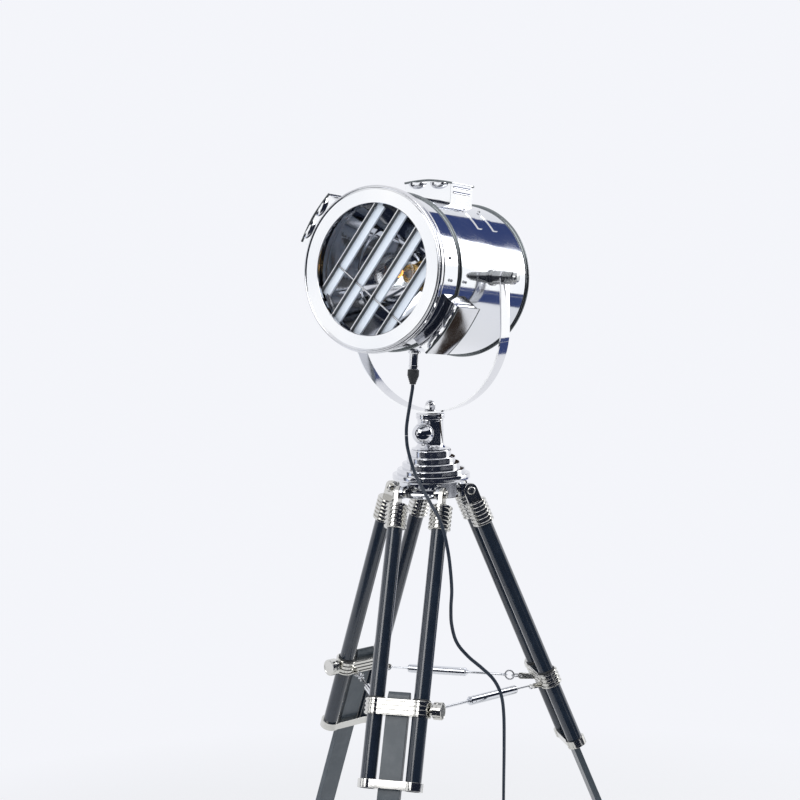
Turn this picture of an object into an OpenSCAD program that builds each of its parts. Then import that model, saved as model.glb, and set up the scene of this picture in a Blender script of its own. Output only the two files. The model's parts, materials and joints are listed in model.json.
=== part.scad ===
/* Tripod spotlight floor lamp: a drum head in a yoke, on a hub with three double tube legs.
   Millimetres, +Z up, origin on the floor under the hub, the front is towards -Y. */

/* [Overall] */
// Height of the hub's flange top above the floor
hub_h = 1110; // [900:5:1300]
// Height of the tilt axis above the flange top
pivot_rise = 381; // [370:1:420]
// Direction of the head about the upright axis
head_pan = -34; // [-60:1:60]
// Tilt of the head, negative is front up
head_tilt = -7; // [-30:1:20]
// Lean of each leg from upright
leg_splay = 22; // [18:1:26]
// Direction of the first leg
leg_turn = -108; // [-120:1:-95]

/* [Head] */
// Outer radius of the barrel
can_r = 146; // [120:1:160]
// Wall of the barrel
can_wall = 1.5; // [1:0.1:3]
// Front edge of the barrel, from the tilt axis
band_front = 183; // [170:1:200]
// Rear edge of the barrel, behind the tilt axis
can_rear = 120; // [90:1:140]
// Centre of the middle bead, from the tilt axis
bead_t = 113; // [100:1:125]
// Radius of a bead's section
bead_r = 4; // [2:0.5:6]
// Outer radius of the bezel
bezel_r = 155; // [150:1:170]
// Radius of the bezel's opening
bezel_open = 122; // [100:1:130]
// Thickness of the bezel's flat ring
bezel_t = 6; // [3:0.5:10]
// Depth of the dome on the back cover
dome_depth = 22; // [10:1:40]
// Spacing of the louvre slats
slat_gap = 51.3; // [40:0.1:56]
// Depth of a louvre slat along the beam
slat_depth = 15; // [8:1:20]
// Thickness of a louvre slat
slat_t = 2; // [1:0.1:3]
// Turn of the slats in the opening
slat_turn = 55; // [0:1:90]
// Radius of the rod that ties the slats
rod_r = 1.75; // [1:0.05:3]
// Depth of the reflector bowl
bowl_depth = 112; // [80:1:120]
// Radius of the bulb
bulb_r = 30; // [20:1:40]

/* [Vents] */
// Half width of a vent box
vent_half = 52; // [40:1:58]
// Height of a vent box's walls, from the beam axis
vent_wall_r = 176; // [165:1:185]
// Height of a vent box's ridge, from the beam axis
vent_ridge_r = 186; // [178:1:195]
// Sheet thickness of a vent box
vent_t = 1.5; // [1:0.1:2.5]

/* [Yoke] */
// Inner half width of the yoke
yoke_in = 170; // [168:1:185]
// Thickness of the yoke strap
strap_t = 3; // [2:0.5:5]
// Width of the yoke strap
strap_w = 30; // [20:1:40]
// Radius of the pivot bolts and the stud's neck
bolt_r = 5; // [3:0.5:6]
// Length of a pivot nut
nut_len = 28; // [20:1:40]

/* [Hub] */
// Radius of the wide flange
flange_r = 75; // [70:1:85]
// Radius of the leg drum
drum_r = 64; // [60:1:66]
// Distance of a leg hinge from the lamp's axis
hinge_r = 67; // [66:1:75]
// Drop of the leg hinges below the flange top
hinge_drop = 29; // [26:1:34]
// Radius of the post
post_r = 25; // [20:1:30]
// Radius of the pan stud
stud_r = 6; // [4:0.5:8]
// Height of the pan knob above the flange top
knob_rise = 83.5; // [75:0.5:95]
// Radius of the pan knob
pan_knob_r = 21; // [15:1:24]

/* [Legs] */
// Half spacing of a leg's two tubes
tube_y = 44; // [40:1:50]
// Outer radius of a leg tube
tube_r = 15; // [10:0.5:18]
// Wall of a leg tube
tube_wall = 1.5; // [1:0.1:3]
// Distance of the clamp's middle from the hinge
clamp_s = 408; // [340:1:460]
// Height of the clamp
clamp_h = 30; // [24:1:40]
// Distance of the tubes' lower ends from the hinge
tube_end = 558; // [500:1:620]
// Width of the sliding slat
slat_leg_w = 43; // [30:1:46]
// Thickness of the sliding slat
slat_leg_t = 12; // [8:1:14]
// Distance of the slat's top from the hinge
slat_top = 378; // [350:1:385]
// Radius of a clamp knob
clamp_knob_r = 16.5; // [12:0.5:20]
// Radius of a rubber foot
foot_r = 24; // [23:0.5:30]

/* [Braces] */
// Distance of a brace's end from the leg's middle plane, inwards
eye_in = 38; // [34:1:44]
// Distance of a brace's end from the leg's centre line, sideways
eye_y = 40; // [36:1:44]
// Radius of the brace's sleeve
sleeve_r = 8.5; // [6:0.5:10]
// Radius of the brace's wire
wire_r = 1.6; // [1:0.1:2]

/* [Cord] */
// Diameter of the cord
cord_d = 7; // [5:0.5:8]

/* [Hidden] */
$fn = 48;

fit = 0.1;        // running clearance of a shaft in its hole
gap = 0.3;        // clearance between faces that move past each other
eps = 0.5;        // a cutter's overrun
pivot_h = hub_h + pivot_rise;
can_in = can_r - can_wall;

// head
slat_front = band_front - 2;
slat_rear = slat_front - slat_depth;
slat_offsets = [-1.44, -0.46, 0.54, 1.56];   // in slat spacings from the beam axis
rod_at = -44;
rod_start = 4 - slat_offsets[0] * slat_gap;
bowl_rim_t = slat_rear - 14;
bowl_back_t = bowl_rim_t - bowl_depth;
bowl_rim_r = can_in - 6.5;
holder_r = 19;
holder_front = bowl_back_t + 20;
bowl_neck_r = holder_r + 1.5;
cover_t = -can_rear - bead_r;
vent_angles = [0, 127, -57];
vent_fronts = [16, 154, 170];
vent_depths = [76, 70, 70];
tab_rears = [4, 4, 19];                       // a rear tab's start, ahead of its box's rear
tab_angles = [20, 36];
tab_w = 14;
tab_margin = 4;
function tab_starts(k) = [tab_rears[k], vent_depths[k] - tab_margin - tab_w];
gland_t = 33;
gland_tube_end = can_r + 34;
gland_end = gland_tube_end + 28;
screw_r = 3;
band_screw_angles = [80, 200, 350];
band_screw_t = band_front - 38;

// yoke and hub
yoke_out = yoke_in + strap_t;
yoke_bottom = 119;                            // underside of the strap, above the flange top
arm_drop = pivot_rise - yoke_bottom - yoke_out;
collar_end = yoke_in - gap;
dome_top = 48.6;
post_top = yoke_bottom - 0.7;
washer_z = yoke_bottom + strap_t + 0.4;
nut_z = washer_z + 2;
drum_top = -10;
drum_bottom = -41;
ear_in = 33;
ear_t = 6.7;
ear_r = 12;
tongue_in = ear_in + ear_t + gap;
tongue_t = 2 * (tube_y - tongue_in);
tongue_r = 13.5;

// legs
leg_az = [for (i = [0:2]) leg_turn + 120 * i];
leg_len = (hub_h - hinge_drop) / cos(leg_splay);
ferrule_top = 22;
ferrule_len = 48;
ferrule_r = 21.5;
block_r = tube_r + 4;
guide_h = 16;
block_half_x = 17;

// braces
eye_out_r = hinge_r + clamp_s * sin(leg_splay) - eye_in * cos(leg_splay);
brace_len = sqrt(3) * eye_out_r - eye_y;
ring_r = 9;
ring_step = 2 * ring_r - 2 * wire_r - gap;
peg_r = 2;
hook_r = 6;

// the cord's route, chosen by hand
upper_points = [[-35, -52, 1270], [-39, -57, 1248], [-43, -61, 1226], [-45.5, -63.5, 1208], [-46, -65, 1193]];
lower_points = [[-46, -65, 1192.5], [-45, -67, 1176], [-42, -70, 1160], [-37, -74, 1141], [-29, -80, 1118],
    [-17, -92, 1095], [-2, -110, 1069], [11, -124, 1048], [21, -132, 1022], [27, -137, 995], [32, -140, 960],
    [35, -140, 911], [33, -137, 875], [34, -132, 841], [43, -126, 806], [64, -118, 777], [90, -110, 752],
    [112, -103, 728], [126, -98, 698], [131, -98, 660], [131, -102, 600], [129, -108, 520], [127, -114, 430],
    [125, -120, 330], [122, -127, 230], [118, -136, 140], [115, -146, 70], [117, -160, 30], [124, -176, 10],
    [135, -196, 4], [149, -210.5, 3.6], [166, -227.5, 3.6]];
coil_at = [215, -215];
coil_mid = 40;

function arc(cx, cy, r, a, b, n) = [for (k = [0:n]) let (t = a + (b - a) * k / n)
    [cx + r * cos(t), cy + r * sin(t)]];
function backwards(list) = [for (k = [len(list) - 1:-1:0]) list[k]];

// a smooth curve through points: Catmull-Rom, n steps a span
function spline(p, n) = concat([for (i = [0:len(p) - 2]) let (
    a = p[max(i - 1, 0)], b = p[i], c = p[i + 1], d = p[min(i + 2, len(p) - 1)])
    for (k = [0:n - 1]) let (t = k / n,
        square_part = 2 * a - 5 * b + 4 * c - d, cube_part = 3 * b - a - 3 * c + d)
        0.5 * (2 * b + (c - a) * t + square_part * t * t + cube_part * t * t * t)],
    [p[len(p) - 1]]);
function unit(v) = v / norm(v);
function heading(line, i) = unit(line[min(i + 1, len(line) - 1)] - line[max(i - 1, 0)]);

module tube_along(line, r, sides) {
    side_ref = [1, 1, 0];
    rings = [for (i = [0:len(line) - 1]) let (
        t = heading(line, i), a = unit(cross(t, side_ref)), b = cross(t, a))
        for (k = [0:sides - 1]) line[i] + r * (cos(360 * k / sides) * a + sin(360 * k / sides) * b)];
    last = (len(line) - 1) * sides;
    polyhedron(rings, concat(
        [[for (k = [0:sides - 1]) k]],
        [for (i = [0:len(line) - 2]) for (k = [0:sides - 1]) let (n = (k + 1) % sides)
            [i * sides + k, (i + 1) * sides + k, (i + 1) * sides + n, i * sides + n]],
        [[for (k = [sides - 1:-1:0]) last + k]]));
}

// frames: the yoke's, the head's with z along the beam and y up, a leg's with -z down the leg
module in_yoke() translate([0, 0, pivot_h]) rotate([0, 0, head_pan]) children();
module in_head() in_yoke() rotate([head_tilt, 0, 0]) rotate([90, 0, 0]) children();
module on_drum(angle, t) rotate([0, 0, -angle]) translate([0, 0, t]) children();
module on_hub(z) translate([0, 0, hub_h + z]) children();
module in_leg(i) rotate([0, 0, leg_az[i]]) translate([hinge_r, 0, hub_h - hinge_drop])
    rotate([0, -leg_splay, 0]) children();
module at_eye(i, side) in_leg(i) translate([-eye_in, side * eye_y, -clamp_s])
    rotate([0, leg_splay, 0]) rotate([0, 0, side * 150]) children();
module both() for (s = [0, 1]) mirror([0, s, 0]) children();
module ring(outer, inner, h) difference() {
    cylinder(r = outer, h = h);
    translate([0, 0, -eps]) cylinder(r = inner, h = h + 2 * eps);
}

/* ---- head ---- */

module bezel() color("gainsboro") in_head() rotate_extrude() {
    translate([bezel_open, band_front]) square([bezel_r - 3 - bezel_open, bezel_t]);
    translate([can_r + 0.2, band_front - 9]) square([bezel_r - 2 - can_r - 0.2, 9 + bezel_t - 2]);
    translate([bezel_r - 3, band_front + bezel_t - 3]) circle(r = 3);
    translate([bezel_r - 2.5, band_front - 6.5]) circle(r = 2.5);
}

// they hold the bezel's sleeve from outside the front band
module bezel_screws() color("silver") in_head() for (a = band_screw_angles)
    on_drum(a, band_screw_t) translate([0, can_r + fit, 0]) rotate([-90, 0, 0]) {
        cylinder(r = screw_r, h = 2);
        translate([0, 0, 2]) cylinder(r1 = screw_r, r2 = screw_r - 1, h = 0.8);
    }

module louvre_slats() color("#22252a") in_head() for (k = slat_offsets)
    intersection() {
        translate([0, 0, slat_rear]) cylinder(r = can_in - 0.3, h = slat_depth);
        rotate([0, 0, slat_turn]) difference() {
            translate([-can_r, -k * slat_gap - slat_t / 2, slat_rear]) cube([2 * can_r, slat_t, slat_depth]);
            translate([rod_at, -k * slat_gap, slat_rear + slat_depth / 2]) rotate([90, 0, 0])
                cylinder(r = rod_r + fit, h = slat_t + 2 * eps, center = true);
        }
    }

module slat_rod() color("silver") in_head() rotate([0, 0, slat_turn])
    translate([rod_at, rod_start, slat_rear + slat_depth / 2]) rotate([90, 0, 0])
        cylinder(r = rod_r, h = rod_start + sqrt(pow(can_in - gap, 2) - rod_at * rod_at) - eps);

module slat_screws() color("silver") in_head() rotate([0, 0, slat_turn]) for (k = slat_offsets)
    translate([sqrt(pow(bezel_open, 2) - pow(k * slat_gap, 2)) - 9, -k * slat_gap - slat_t / 2,
        slat_rear + slat_depth / 2]) rotate([90, 0, 0]) {
        cylinder(r = screw_r, h = 1.6);
        cylinder(r = screw_r - 1, h = 2.4);
    }

bowl_steps = 14;
function bowl_t(r) = bowl_back_t + bowl_depth * (r * r - bowl_neck_r * bowl_neck_r)
    / (bowl_rim_r * bowl_rim_r - bowl_neck_r * bowl_neck_r);
bowl_line = [for (k = [0:bowl_steps]) let (r = bowl_neck_r + (bowl_rim_r - bowl_neck_r) * k / bowl_steps)
    [r, bowl_t(r)]];

module reflector() color("lightgray") in_head() rotate_extrude() polygon(concat(
    bowl_line,
    [[can_in - 0.3, bowl_rim_t], [can_in - 0.3, bowl_rim_t - 1.2]],
    backwards([for (p = bowl_line) [p[0], p[1] - 1.2]])));

cover_inner_t = cover_t - bead_r + 1.5 - dome_depth;

module lamp_holder() color("#b08a4a") in_head() {
    translate([0, 0, cover_inner_t + 0.5]) cylinder(r = 14, h = 6);
    translate([0, 0, cover_inner_t + 1]) cylinder(r = 6, h = holder_front - cover_inner_t - 20);
    translate([0, 0, holder_front - 46]) cylinder(r = holder_r - 3, h = 10);
    translate([0, 0, holder_front - 38]) cylinder(r = holder_r, h = 38);
}

module bulb() color("white", 0.5) in_head() rotate_extrude() {
    square_h = 12;
    translate([0, holder_front]) square([13, square_h]);
    polygon(concat([[0, holder_front + square_h]],
        arc(0, holder_front + square_h + bulb_r - 3, bulb_r, -64, 90, 12)));
}

module front_band() color("silver") in_head() translate([0, 0, bead_t + bead_r])
    ring(can_r, can_in, band_front - bead_t - bead_r);

module mid_bead() color("gainsboro") in_head() rotate_extrude() translate([can_r, bead_t]) circle(r = bead_r);

module rear_can() color("silver") in_head() difference() {
    translate([0, 0, -can_rear]) ring(can_r, can_in, can_rear + bead_t - bead_r);
    rotate([0, 0, 180]) translate([0, can_in - 2, gland_t]) rotate([-90, 0, 0]) cylinder(r = 5, h = 6);
}

cover_edge = can_r - bead_r;
cover_line = [for (k = [0:10]) let (r = cover_edge * k / 10)
    [r, cover_t - bead_r - dome_depth * (1 - r * r / (cover_edge * cover_edge))]];

module back_cover() color("silver") in_head() rotate_extrude() {
    translate([can_r, cover_t]) circle(r = bead_r);
    polygon(concat(cover_line, [[can_r, cover_t - bead_r / 2], [cover_edge - 1, cover_t]],
        backwards([for (p = cover_line) [p[0] * 0.985, p[1] + 1.5]])));
}

module vent(k) {
    front = vent_fronts[k];
    depth = vent_depths[k];
    in_head() on_drum(vent_angles[k], front - depth) {
        difference() {
            union() {
                linear_extrude(depth) polygon([[-vent_half, can_r - 20], [vent_half, can_r - 20],
                    [vent_half, vent_wall_r], [0, vent_ridge_r], [-vent_half, vent_wall_r]]);
                translate([0, 0, -1.5]) linear_extrude(depth + 3) polygon([
                    [-vent_half - 2, vent_wall_r - 1.4], [0, vent_ridge_r - 1],
                    [vent_half + 2, vent_wall_r - 1.4], [vent_half + 2, vent_wall_r],
                    [0, vent_ridge_r + 0.6], [-vent_half - 2, vent_wall_r]]);
            }
            translate([0, 0, vent_t]) linear_extrude(depth - 2 * vent_t) polygon([
                [-vent_half + vent_t, can_r - 22], [vent_half - vent_t, can_r - 22],
                [vent_half - vent_t, vent_wall_r - vent_t], [0, vent_ridge_r - vent_t - 1],
                [-vent_half + vent_t, vent_wall_r - vent_t]]);
            translate([0, 0, -4]) cylinder(r = can_r + fit, h = depth + 8, $fn = 96);
            if (abs(bead_t - front + depth / 2) < depth / 2)
                translate([0, 0, bead_t - bead_r - 1 - front + depth])
                    cylinder(r = can_r + bead_r + 0.3, h = 2 * bead_r + 2, $fn = 96);
            for (r = [156, 166]) translate([-vent_half - 4, r, 8]) cube([2 * vent_half + 8, 4, depth - 16]);
        }
        for (s = [0, 1], t = tab_starts(k)) mirror([s, 0, 0]) translate([0, 0, t])
            rotate([0, 0, 90 - tab_angles[1]]) rotate_extrude(angle = tab_angles[1] - tab_angles[0], $fn = 96)
                translate([can_r + fit, 0]) square([vent_t, tab_w]);
    }
}

module vent_top() color("silver") vent(0);
module vent_right() color("silver") vent(1);
module vent_left() color("silver") vent(2);

module vent_screws() color("dimgray") in_head() for (k = [0:2], s = [-1, 1], t = tab_starts(k))
    on_drum(vent_angles[k] + s * (tab_angles[1] - 5), vent_fronts[k] - vent_depths[k] + t + tab_w / 2)
        translate([0, can_r + fit + vent_t + 0.1, 0]) rotate([-90, 0, 0]) cylinder(r = screw_r, h = 2.4);

module cable_gland() color("silver") in_head() on_drum(180, gland_t) rotate([-90, 0, 0]) difference() {
    union() {
        translate([0, 0, can_r + 0.05]) cylinder(r = 12, h = 3);
        translate([0, 0, can_r + 3]) cylinder(r = 9, h = gland_tube_end - can_r - 3);
    }
    translate([0, 0, can_r - 1]) cylinder(r = cord_d / 2 + fit, h = gland_tube_end - can_r + 2);
}

module cable_sleeve() color("#26282c") in_head() on_drum(180, gland_t) rotate([-90, 0, 0])
    translate([0, 0, gland_tube_end]) {
        cylinder(r = 11, h = 20);
        translate([0, 0, 20]) cylinder(r1 = 11, r2 = 6, h = gland_end - gland_tube_end - 20);
    }

module pivot_collars() color("silver") in_yoke() for (s = [-1, 1]) rotate([0, s * 90, 0]) difference() {
    union() {
        translate([0, 0, can_r + 0.05]) cylinder(r = 16, h = 5);
        translate([0, 0, can_r + 5]) cylinder(r = 13, h = collar_end - can_r - 5);
    }
    translate([0, 0, can_r - 1]) cylinder(r = bolt_r + fit, h = collar_end - can_r + 2);
}

module pivot_bolts() color("silver") in_yoke() for (s = [-1, 1]) rotate([0, s * 90, 0])
    translate([0, 0, can_r + 0.1]) cylinder(r = bolt_r, h = yoke_out + nut_len - 12 - can_r);

/* ---- yoke ---- */

module yoke() color("lightgray") in_yoke() difference() {
    union() {
        for (s = [0, 1]) mirror([s, 0, 0]) {
            translate([yoke_in, -strap_w / 2, -arm_drop]) cube([strap_t, strap_w, arm_drop]);
            translate([yoke_in, 0, 0]) rotate([0, 90, 0]) cylinder(r = strap_w / 2, h = strap_t);
        }
        translate([0, strap_w / 2, -arm_drop]) rotate([90, 0, 0]) difference() {
            cylinder(r = yoke_out, h = strap_w, $fn = 96);
            translate([0, 0, -eps]) cylinder(r = yoke_in, h = strap_w + 2 * eps, $fn = 96);
            translate([-yoke_out - eps, 0, -eps])
                cube([2 * yoke_out + 2 * eps, yoke_out + eps, strap_w + 2 * eps]);
        }
    }
    rotate([0, 90, 0]) cylinder(r = bolt_r + fit, h = 2 * yoke_out + 2, center = true);
    translate([0, 0, -arm_drop - yoke_out - 1]) cylinder(r = stud_r + fit, h = strap_t + 3);
}

module pivot_nuts() color("silver") in_yoke() for (s = [-1, 1]) rotate([0, s * 90, 0]) difference() {
    union() {
        translate([0, 0, yoke_out]) cylinder(r = 12, h = nut_len);
        for (a = [0:30:330]) rotate([0, 0, a]) translate([11.6, 0, yoke_out + 5])
            cylinder(r = 1.4, h = nut_len - 9);
    }
    translate([0, 0, yoke_out - 1]) cylinder(r = bolt_r + fit, h = nut_len - 8);
}

module acorn_nut() color("silver") on_hub(nut_z) rotate([0, 0, head_pan]) difference() {
    union() {
        cylinder(r = 11.5, h = 9, $fn = 6);
        intersection() {
            translate([0, 0, 8]) sphere(r = 10);
            cylinder(r = 12, h = 20);
        }
    }
    translate([0, 0, -1]) cylinder(r = stud_r + fit, h = 14);
}

module stud_washer() color("silver") on_hub(washer_z) ring(11, stud_r + fit, 2);

module cord_upper() color("#3c444c") {
    exit_dir = [-0.068, -0.101, -0.993];
    start = cord_exit() + gap * exit_dir;
    tube_along(spline(concat([start, start + 8 * exit_dir], upper_points), 2), cord_d / 2, 8);
}

// where the cord leaves the sleeve: the sleeve's end carried from the head's frame to the lamp's
function cord_exit() = let (
    up = gland_t * sin(-head_tilt) - gland_end * cos(head_tilt),
    y = -(gland_t * cos(head_tilt) + gland_end * sin(-head_tilt)))
    [-y * sin(head_pan), y * cos(head_pan), pivot_h + up];

/* ---- hub ---- */

module post() color("lightgray") on_hub(0) difference() {
    rotate_extrude() polygon(concat([[0, dome_top], [37, dome_top], [37, dome_top + 1.5]],
        arc(37, dome_top + 13.5, 12, 270, 180, 6),
        [[post_r, post_top - 12], [post_r + 3, post_top - 10], [post_r + 3, post_top - 2],
            [post_r + 1, post_top], [0, post_top]]));
    translate([0, 0, post_top - 44]) cylinder(r = stud_r + fit, h = 50);
    translate([0, 0, knob_rise]) rotate([0, 0, leg_turn]) rotate([0, 90, 0])
        translate([0, 0, stud_r + 1.5]) cylinder(r = 4 + fit, h = 40);
}

module stepped_dome() color("lightgray") on_hub(0) rotate_extrude() polygon([[0, 2], [66, 2], [66, 10.5],
    [64.5, 12], [56, 12], [56, 22], [54.5, 23.5], [47, 23.5], [47, 33.5], [45.5, 35], [39, 35],
    [39, dome_top - 1.5], [37.5, dome_top], [0, dome_top]]);

module hub_flange() color("lightgray") on_hub(0) rotate_extrude() polygon([[0, drum_top],
    [flange_r - 2, drum_top], [flange_r, drum_top + 2], [flange_r, 0], [flange_r - 2, 2], [0, 2]]);

module leg_drum() color("silver") on_hub(0) difference() {
    union() {
        translate([0, 0, drum_bottom]) cylinder(r = drum_r, h = drum_top - drum_bottom);
        for (az = leg_az) rotate([0, 0, az]) both() translate([0, ear_in, 0]) {
            translate([30, 0, drum_bottom]) cube([hinge_r - 30, ear_t, ear_r * 2]);
            translate([hinge_r, ear_t, -hinge_drop]) rotate([90, 0, 0]) cylinder(r = ear_r, h = ear_t);
        }
    }
    for (az = leg_az) rotate([0, 0, az]) translate([hinge_r, 0, -hinge_drop]) rotate([90, 0, 0])
        cylinder(r = bolt_r + fit, h = 2 * tube_y, center = true);
    for (az = leg_az) rotate([0, 0, az]) translate([hinge_r, 0, -hinge_drop]) rotate([90, 0, 0])
        cylinder(r = 8.5, h = 2 * ear_in, center = true);
}

module pan_stud() color("silver") on_hub(0) translate([0, 0, post_top - 43.8])
    cylinder(r = stud_r, h = nut_z + 12 - post_top + 43.8);

module hinge_bolts() color("silver") on_hub(0) for (az = leg_az) rotate([0, 0, az])
    translate([hinge_r, 0, -hinge_drop]) both() rotate([-90, 0, 0]) {
        translate([0, 0, ear_in - 5]) cylinder(r = 8, h = 5);
        translate([0, 0, ear_in]) cylinder(r = bolt_r, h = tongue_in + tongue_t + gap - ear_in);
        translate([0, 0, tongue_in + tongue_t + gap]) cylinder(r = 8, h = 4);
        translate([0, 0, tongue_in + tongue_t + gap + 4]) cylinder(r1 = 8, r2 = 6, h = 1.6);
    }

module pan_knob() color("gainsboro") on_hub(knob_rise) rotate([0, 0, leg_turn]) rotate([0, 90, 0])
    rotate_extrude() polygon(concat([[0, stud_r + 2], [4, stud_r + 2], [4, post_r + 0.5], [9, post_r + 0.5],
        [9, 34], [pan_knob_r - 4, 37], [pan_knob_r, 43], [pan_knob_r, 48]],
        [for (a = [15:15:75]) [pan_knob_r * cos(a), 48 + 20 * sin(a)]], [[0, 68]]));

module cord_lower() color("#3c444c") tube_along(spline(lower_points, 2), cord_d / 2, 8);

module cord_coil() color("#3c444c") translate([coil_at[0], coil_at[1], 0])
    ring(coil_mid + cord_d, coil_mid - cord_d, 2 * cord_d);

// the coil's end leaves it on a tangent, and the plug starts where it is clear of the coil
plug_run = 26;
plug_at = coil_at + [(coil_mid + cord_d / 2) * cos(-45) + plug_run * cos(45),
    (coil_mid + cord_d / 2) * sin(-45) + plug_run * sin(45)];

module plug() color("#2c2e32") translate([plug_at[0], plug_at[1], 1.5 * cord_d]) rotate([0, 0, 45])
    rotate([0, 90, 0]) {
    cylinder(r1 = cord_d / 2 + 0.1, r2 = 7, h = 14);
    translate([0, 0, 14]) cylinder(r = 10.4, h = 30);
    for (y = [-9.5, 9.5]) translate([0, y, 44]) cylinder(r = 2, h = 19);
}

/* ---- legs ---- */

module leg_ferrules(i) color("lightgray") in_leg(i) both() difference() {
    union() {
        translate([-tongue_r, tongue_in, -ferrule_top - 3]) cube([2 * tongue_r, tongue_t, ferrule_top + 3]);
        translate([0, tongue_in, 0]) rotate([-90, 0, 0]) cylinder(r = tongue_r, h = tongue_t);
        translate([0, tube_y, -ferrule_top - ferrule_len]) cylinder(r = ferrule_r - 3, h = ferrule_len);
        for (k = [0:5]) translate([0, tube_y, -ferrule_top - ferrule_len + 8 * k + 1])
            cylinder(r = ferrule_r, h = 5);
    }
    translate([0, tube_y, -ferrule_top - ferrule_len - eps]) cylinder(r = tube_r, h = ferrule_len - 4 + eps);
    rotate([-90, 0, 0]) cylinder(r = bolt_r + fit, h = 2 * tube_y);
}

module leg_tubes(i) color("#2b2f35") in_leg(i) both() translate([0, tube_y, -tube_end])
    ring(tube_r, tube_r - tube_wall, tube_end - ferrule_top - 4);

module clamp_outline(grow) {
    for (s = [-1, 1]) translate([0, s * tube_y]) circle(r = block_r + grow);
    translate([-block_half_x - grow, -tube_y]) square([2 * block_half_x + 2 * grow, 2 * tube_y]);
}

module leg_clamp(i) color("lightgray") difference() {
    union() {
        in_leg(i) {
            translate([0, 0, -clamp_s - clamp_h / 2]) linear_extrude(clamp_h) clamp_outline(0);
            for (k = [0:3]) translate([0, 0, -clamp_s - clamp_h / 2 + 1.5 + 8 * k]) linear_extrude(3)
                clamp_outline(2);
            translate([0, 0, -tube_end]) linear_extrude(guide_h) clamp_outline(0);
        }
        at_eye(i, 1) {
            translate([-26, -2, -5]) cube([26, 4, 10]);
            rotate([90, 0, 0]) cylinder(r = 6.5, h = 4, center = true);
        }
        at_eye(i, -1) {
            translate([-26, 5, -5]) cube([26, 4, 10]);
            translate([0, 9, 0]) rotate([90, 0, 0]) cylinder(r = 5, h = 4);
            translate([0, 6, 0]) rotate([90, 0, 0]) cylinder(r = peg_r, h = 10);
        }
    }
    at_eye(i, 1) rotate([90, 0, 0]) cylinder(r = wire_r + 1, h = 20, center = true);
    in_leg(i) {
        both() translate([0, tube_y, -tube_end - 1]) cylinder(r = tube_r, h = tube_end);
        translate([-slat_leg_t / 2 - gap, -slat_leg_w / 2 - gap, -tube_end - 1])
            cube([slat_leg_t + 2 * gap, slat_leg_w + 2 * gap, tube_end]);
        translate([0, tube_y + tube_r - 1, -clamp_s]) rotate([-90, 0, 0]) cylinder(r = 4 + fit, h = 20);
    }
}

module leg_knob(i) color("gainsboro") in_leg(i)
    translate([0, tube_y, -clamp_s]) rotate([-90, 0, 0]) {
        translate([0, 0, tube_r + 0.6]) cylinder(r = 4, h = block_r - tube_r + 3);
        translate([0, 0, block_r + 2.3]) cylinder(r = 10, h = 4);
        translate([0, 0, block_r + 6.3]) cylinder(r = clamp_knob_r, h = 18);
        translate([0, 0, block_r + 24.3]) cylinder(r1 = clamp_knob_r, r2 = clamp_knob_r - 1.5, h = 1.5);
    }

module leg_slat(i) color("#3a3f45") in_leg(i) difference() {
    rotate([90, 0, 0]) linear_extrude(slat_leg_w, center = true) polygon([[-slat_leg_t / 2, -leg_len + 16],
        [slat_leg_t / 2, -leg_len + 16], [slat_leg_t / 2, -slat_top - 10], [slat_leg_t / 2 - 4, -slat_top],
        [-slat_leg_t / 2 + 4, -slat_top], [-slat_leg_t / 2, -slat_top - 10]]);
    translate([-slat_leg_t / 2 + tube_wall, -slat_leg_w / 2 + tube_wall, -leg_len + 15])
        cube([slat_leg_t - 2 * tube_wall, slat_leg_w - 2 * tube_wall, leg_len - slat_top - 35]);
}

module leg_foot(i) color("#1e2023") intersection() {
    in_leg(i) difference() {
        translate([0, 0, -leg_len - 20]) cylinder(r = foot_r, h = 62);
        translate([-slat_leg_t / 2, -slat_leg_w / 2, -leg_len + 16]) cube([slat_leg_t, slat_leg_w, 40]);
    }
    translate([-leg_len, -leg_len, 0]) cube([2 * leg_len, 2 * leg_len, 100]);
}

module wire_ring(r) rotate_extrude() translate([r, 0]) circle(r = wire_r, $fn = 16);

module leg_links(i) color("silver") at_eye(i, 1) {
    translate([ring_r, 0, 0]) wire_ring(ring_r);
    translate([ring_r + ring_step, 0, 0]) rotate([90, 0, 0]) wire_ring(ring_r);
}

module leg_brace(i) color("silver") at_eye(i, 1) {
    eye_r = 5;
    eye_x = 2 * ring_step + eye_r;
    sleeve_x = brace_len - hook_r - 160;
    translate([eye_x, 0, 0]) wire_ring(eye_r);
    translate([eye_x + eye_r, 0, 0]) rotate([0, 90, 0]) cylinder(r = 2.6, h = sleeve_x - eye_x - eye_r + 1);
    translate([sleeve_x, 0, 0]) rotate([0, 90, 0]) cylinder(r = sleeve_r, h = 122);
    translate([sleeve_x + 121, 0, 0]) rotate([0, 90, 0]) cylinder(r = wire_r, h = 39);
    translate([brace_len, 0, 0]) rotate([90, 0, 0]) rotate([0, 0, 180])
        rotate_extrude(angle = 180) translate([hook_r, 0]) circle(r = wire_r, $fn = 16);
    translate([brace_len + hook_r, 0, 0]) cylinder(r = wire_r, h = 2.5);
    translate([brace_len - hook_r, 0, 0]) sphere(r = wire_r, $fn = 16);
}

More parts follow.
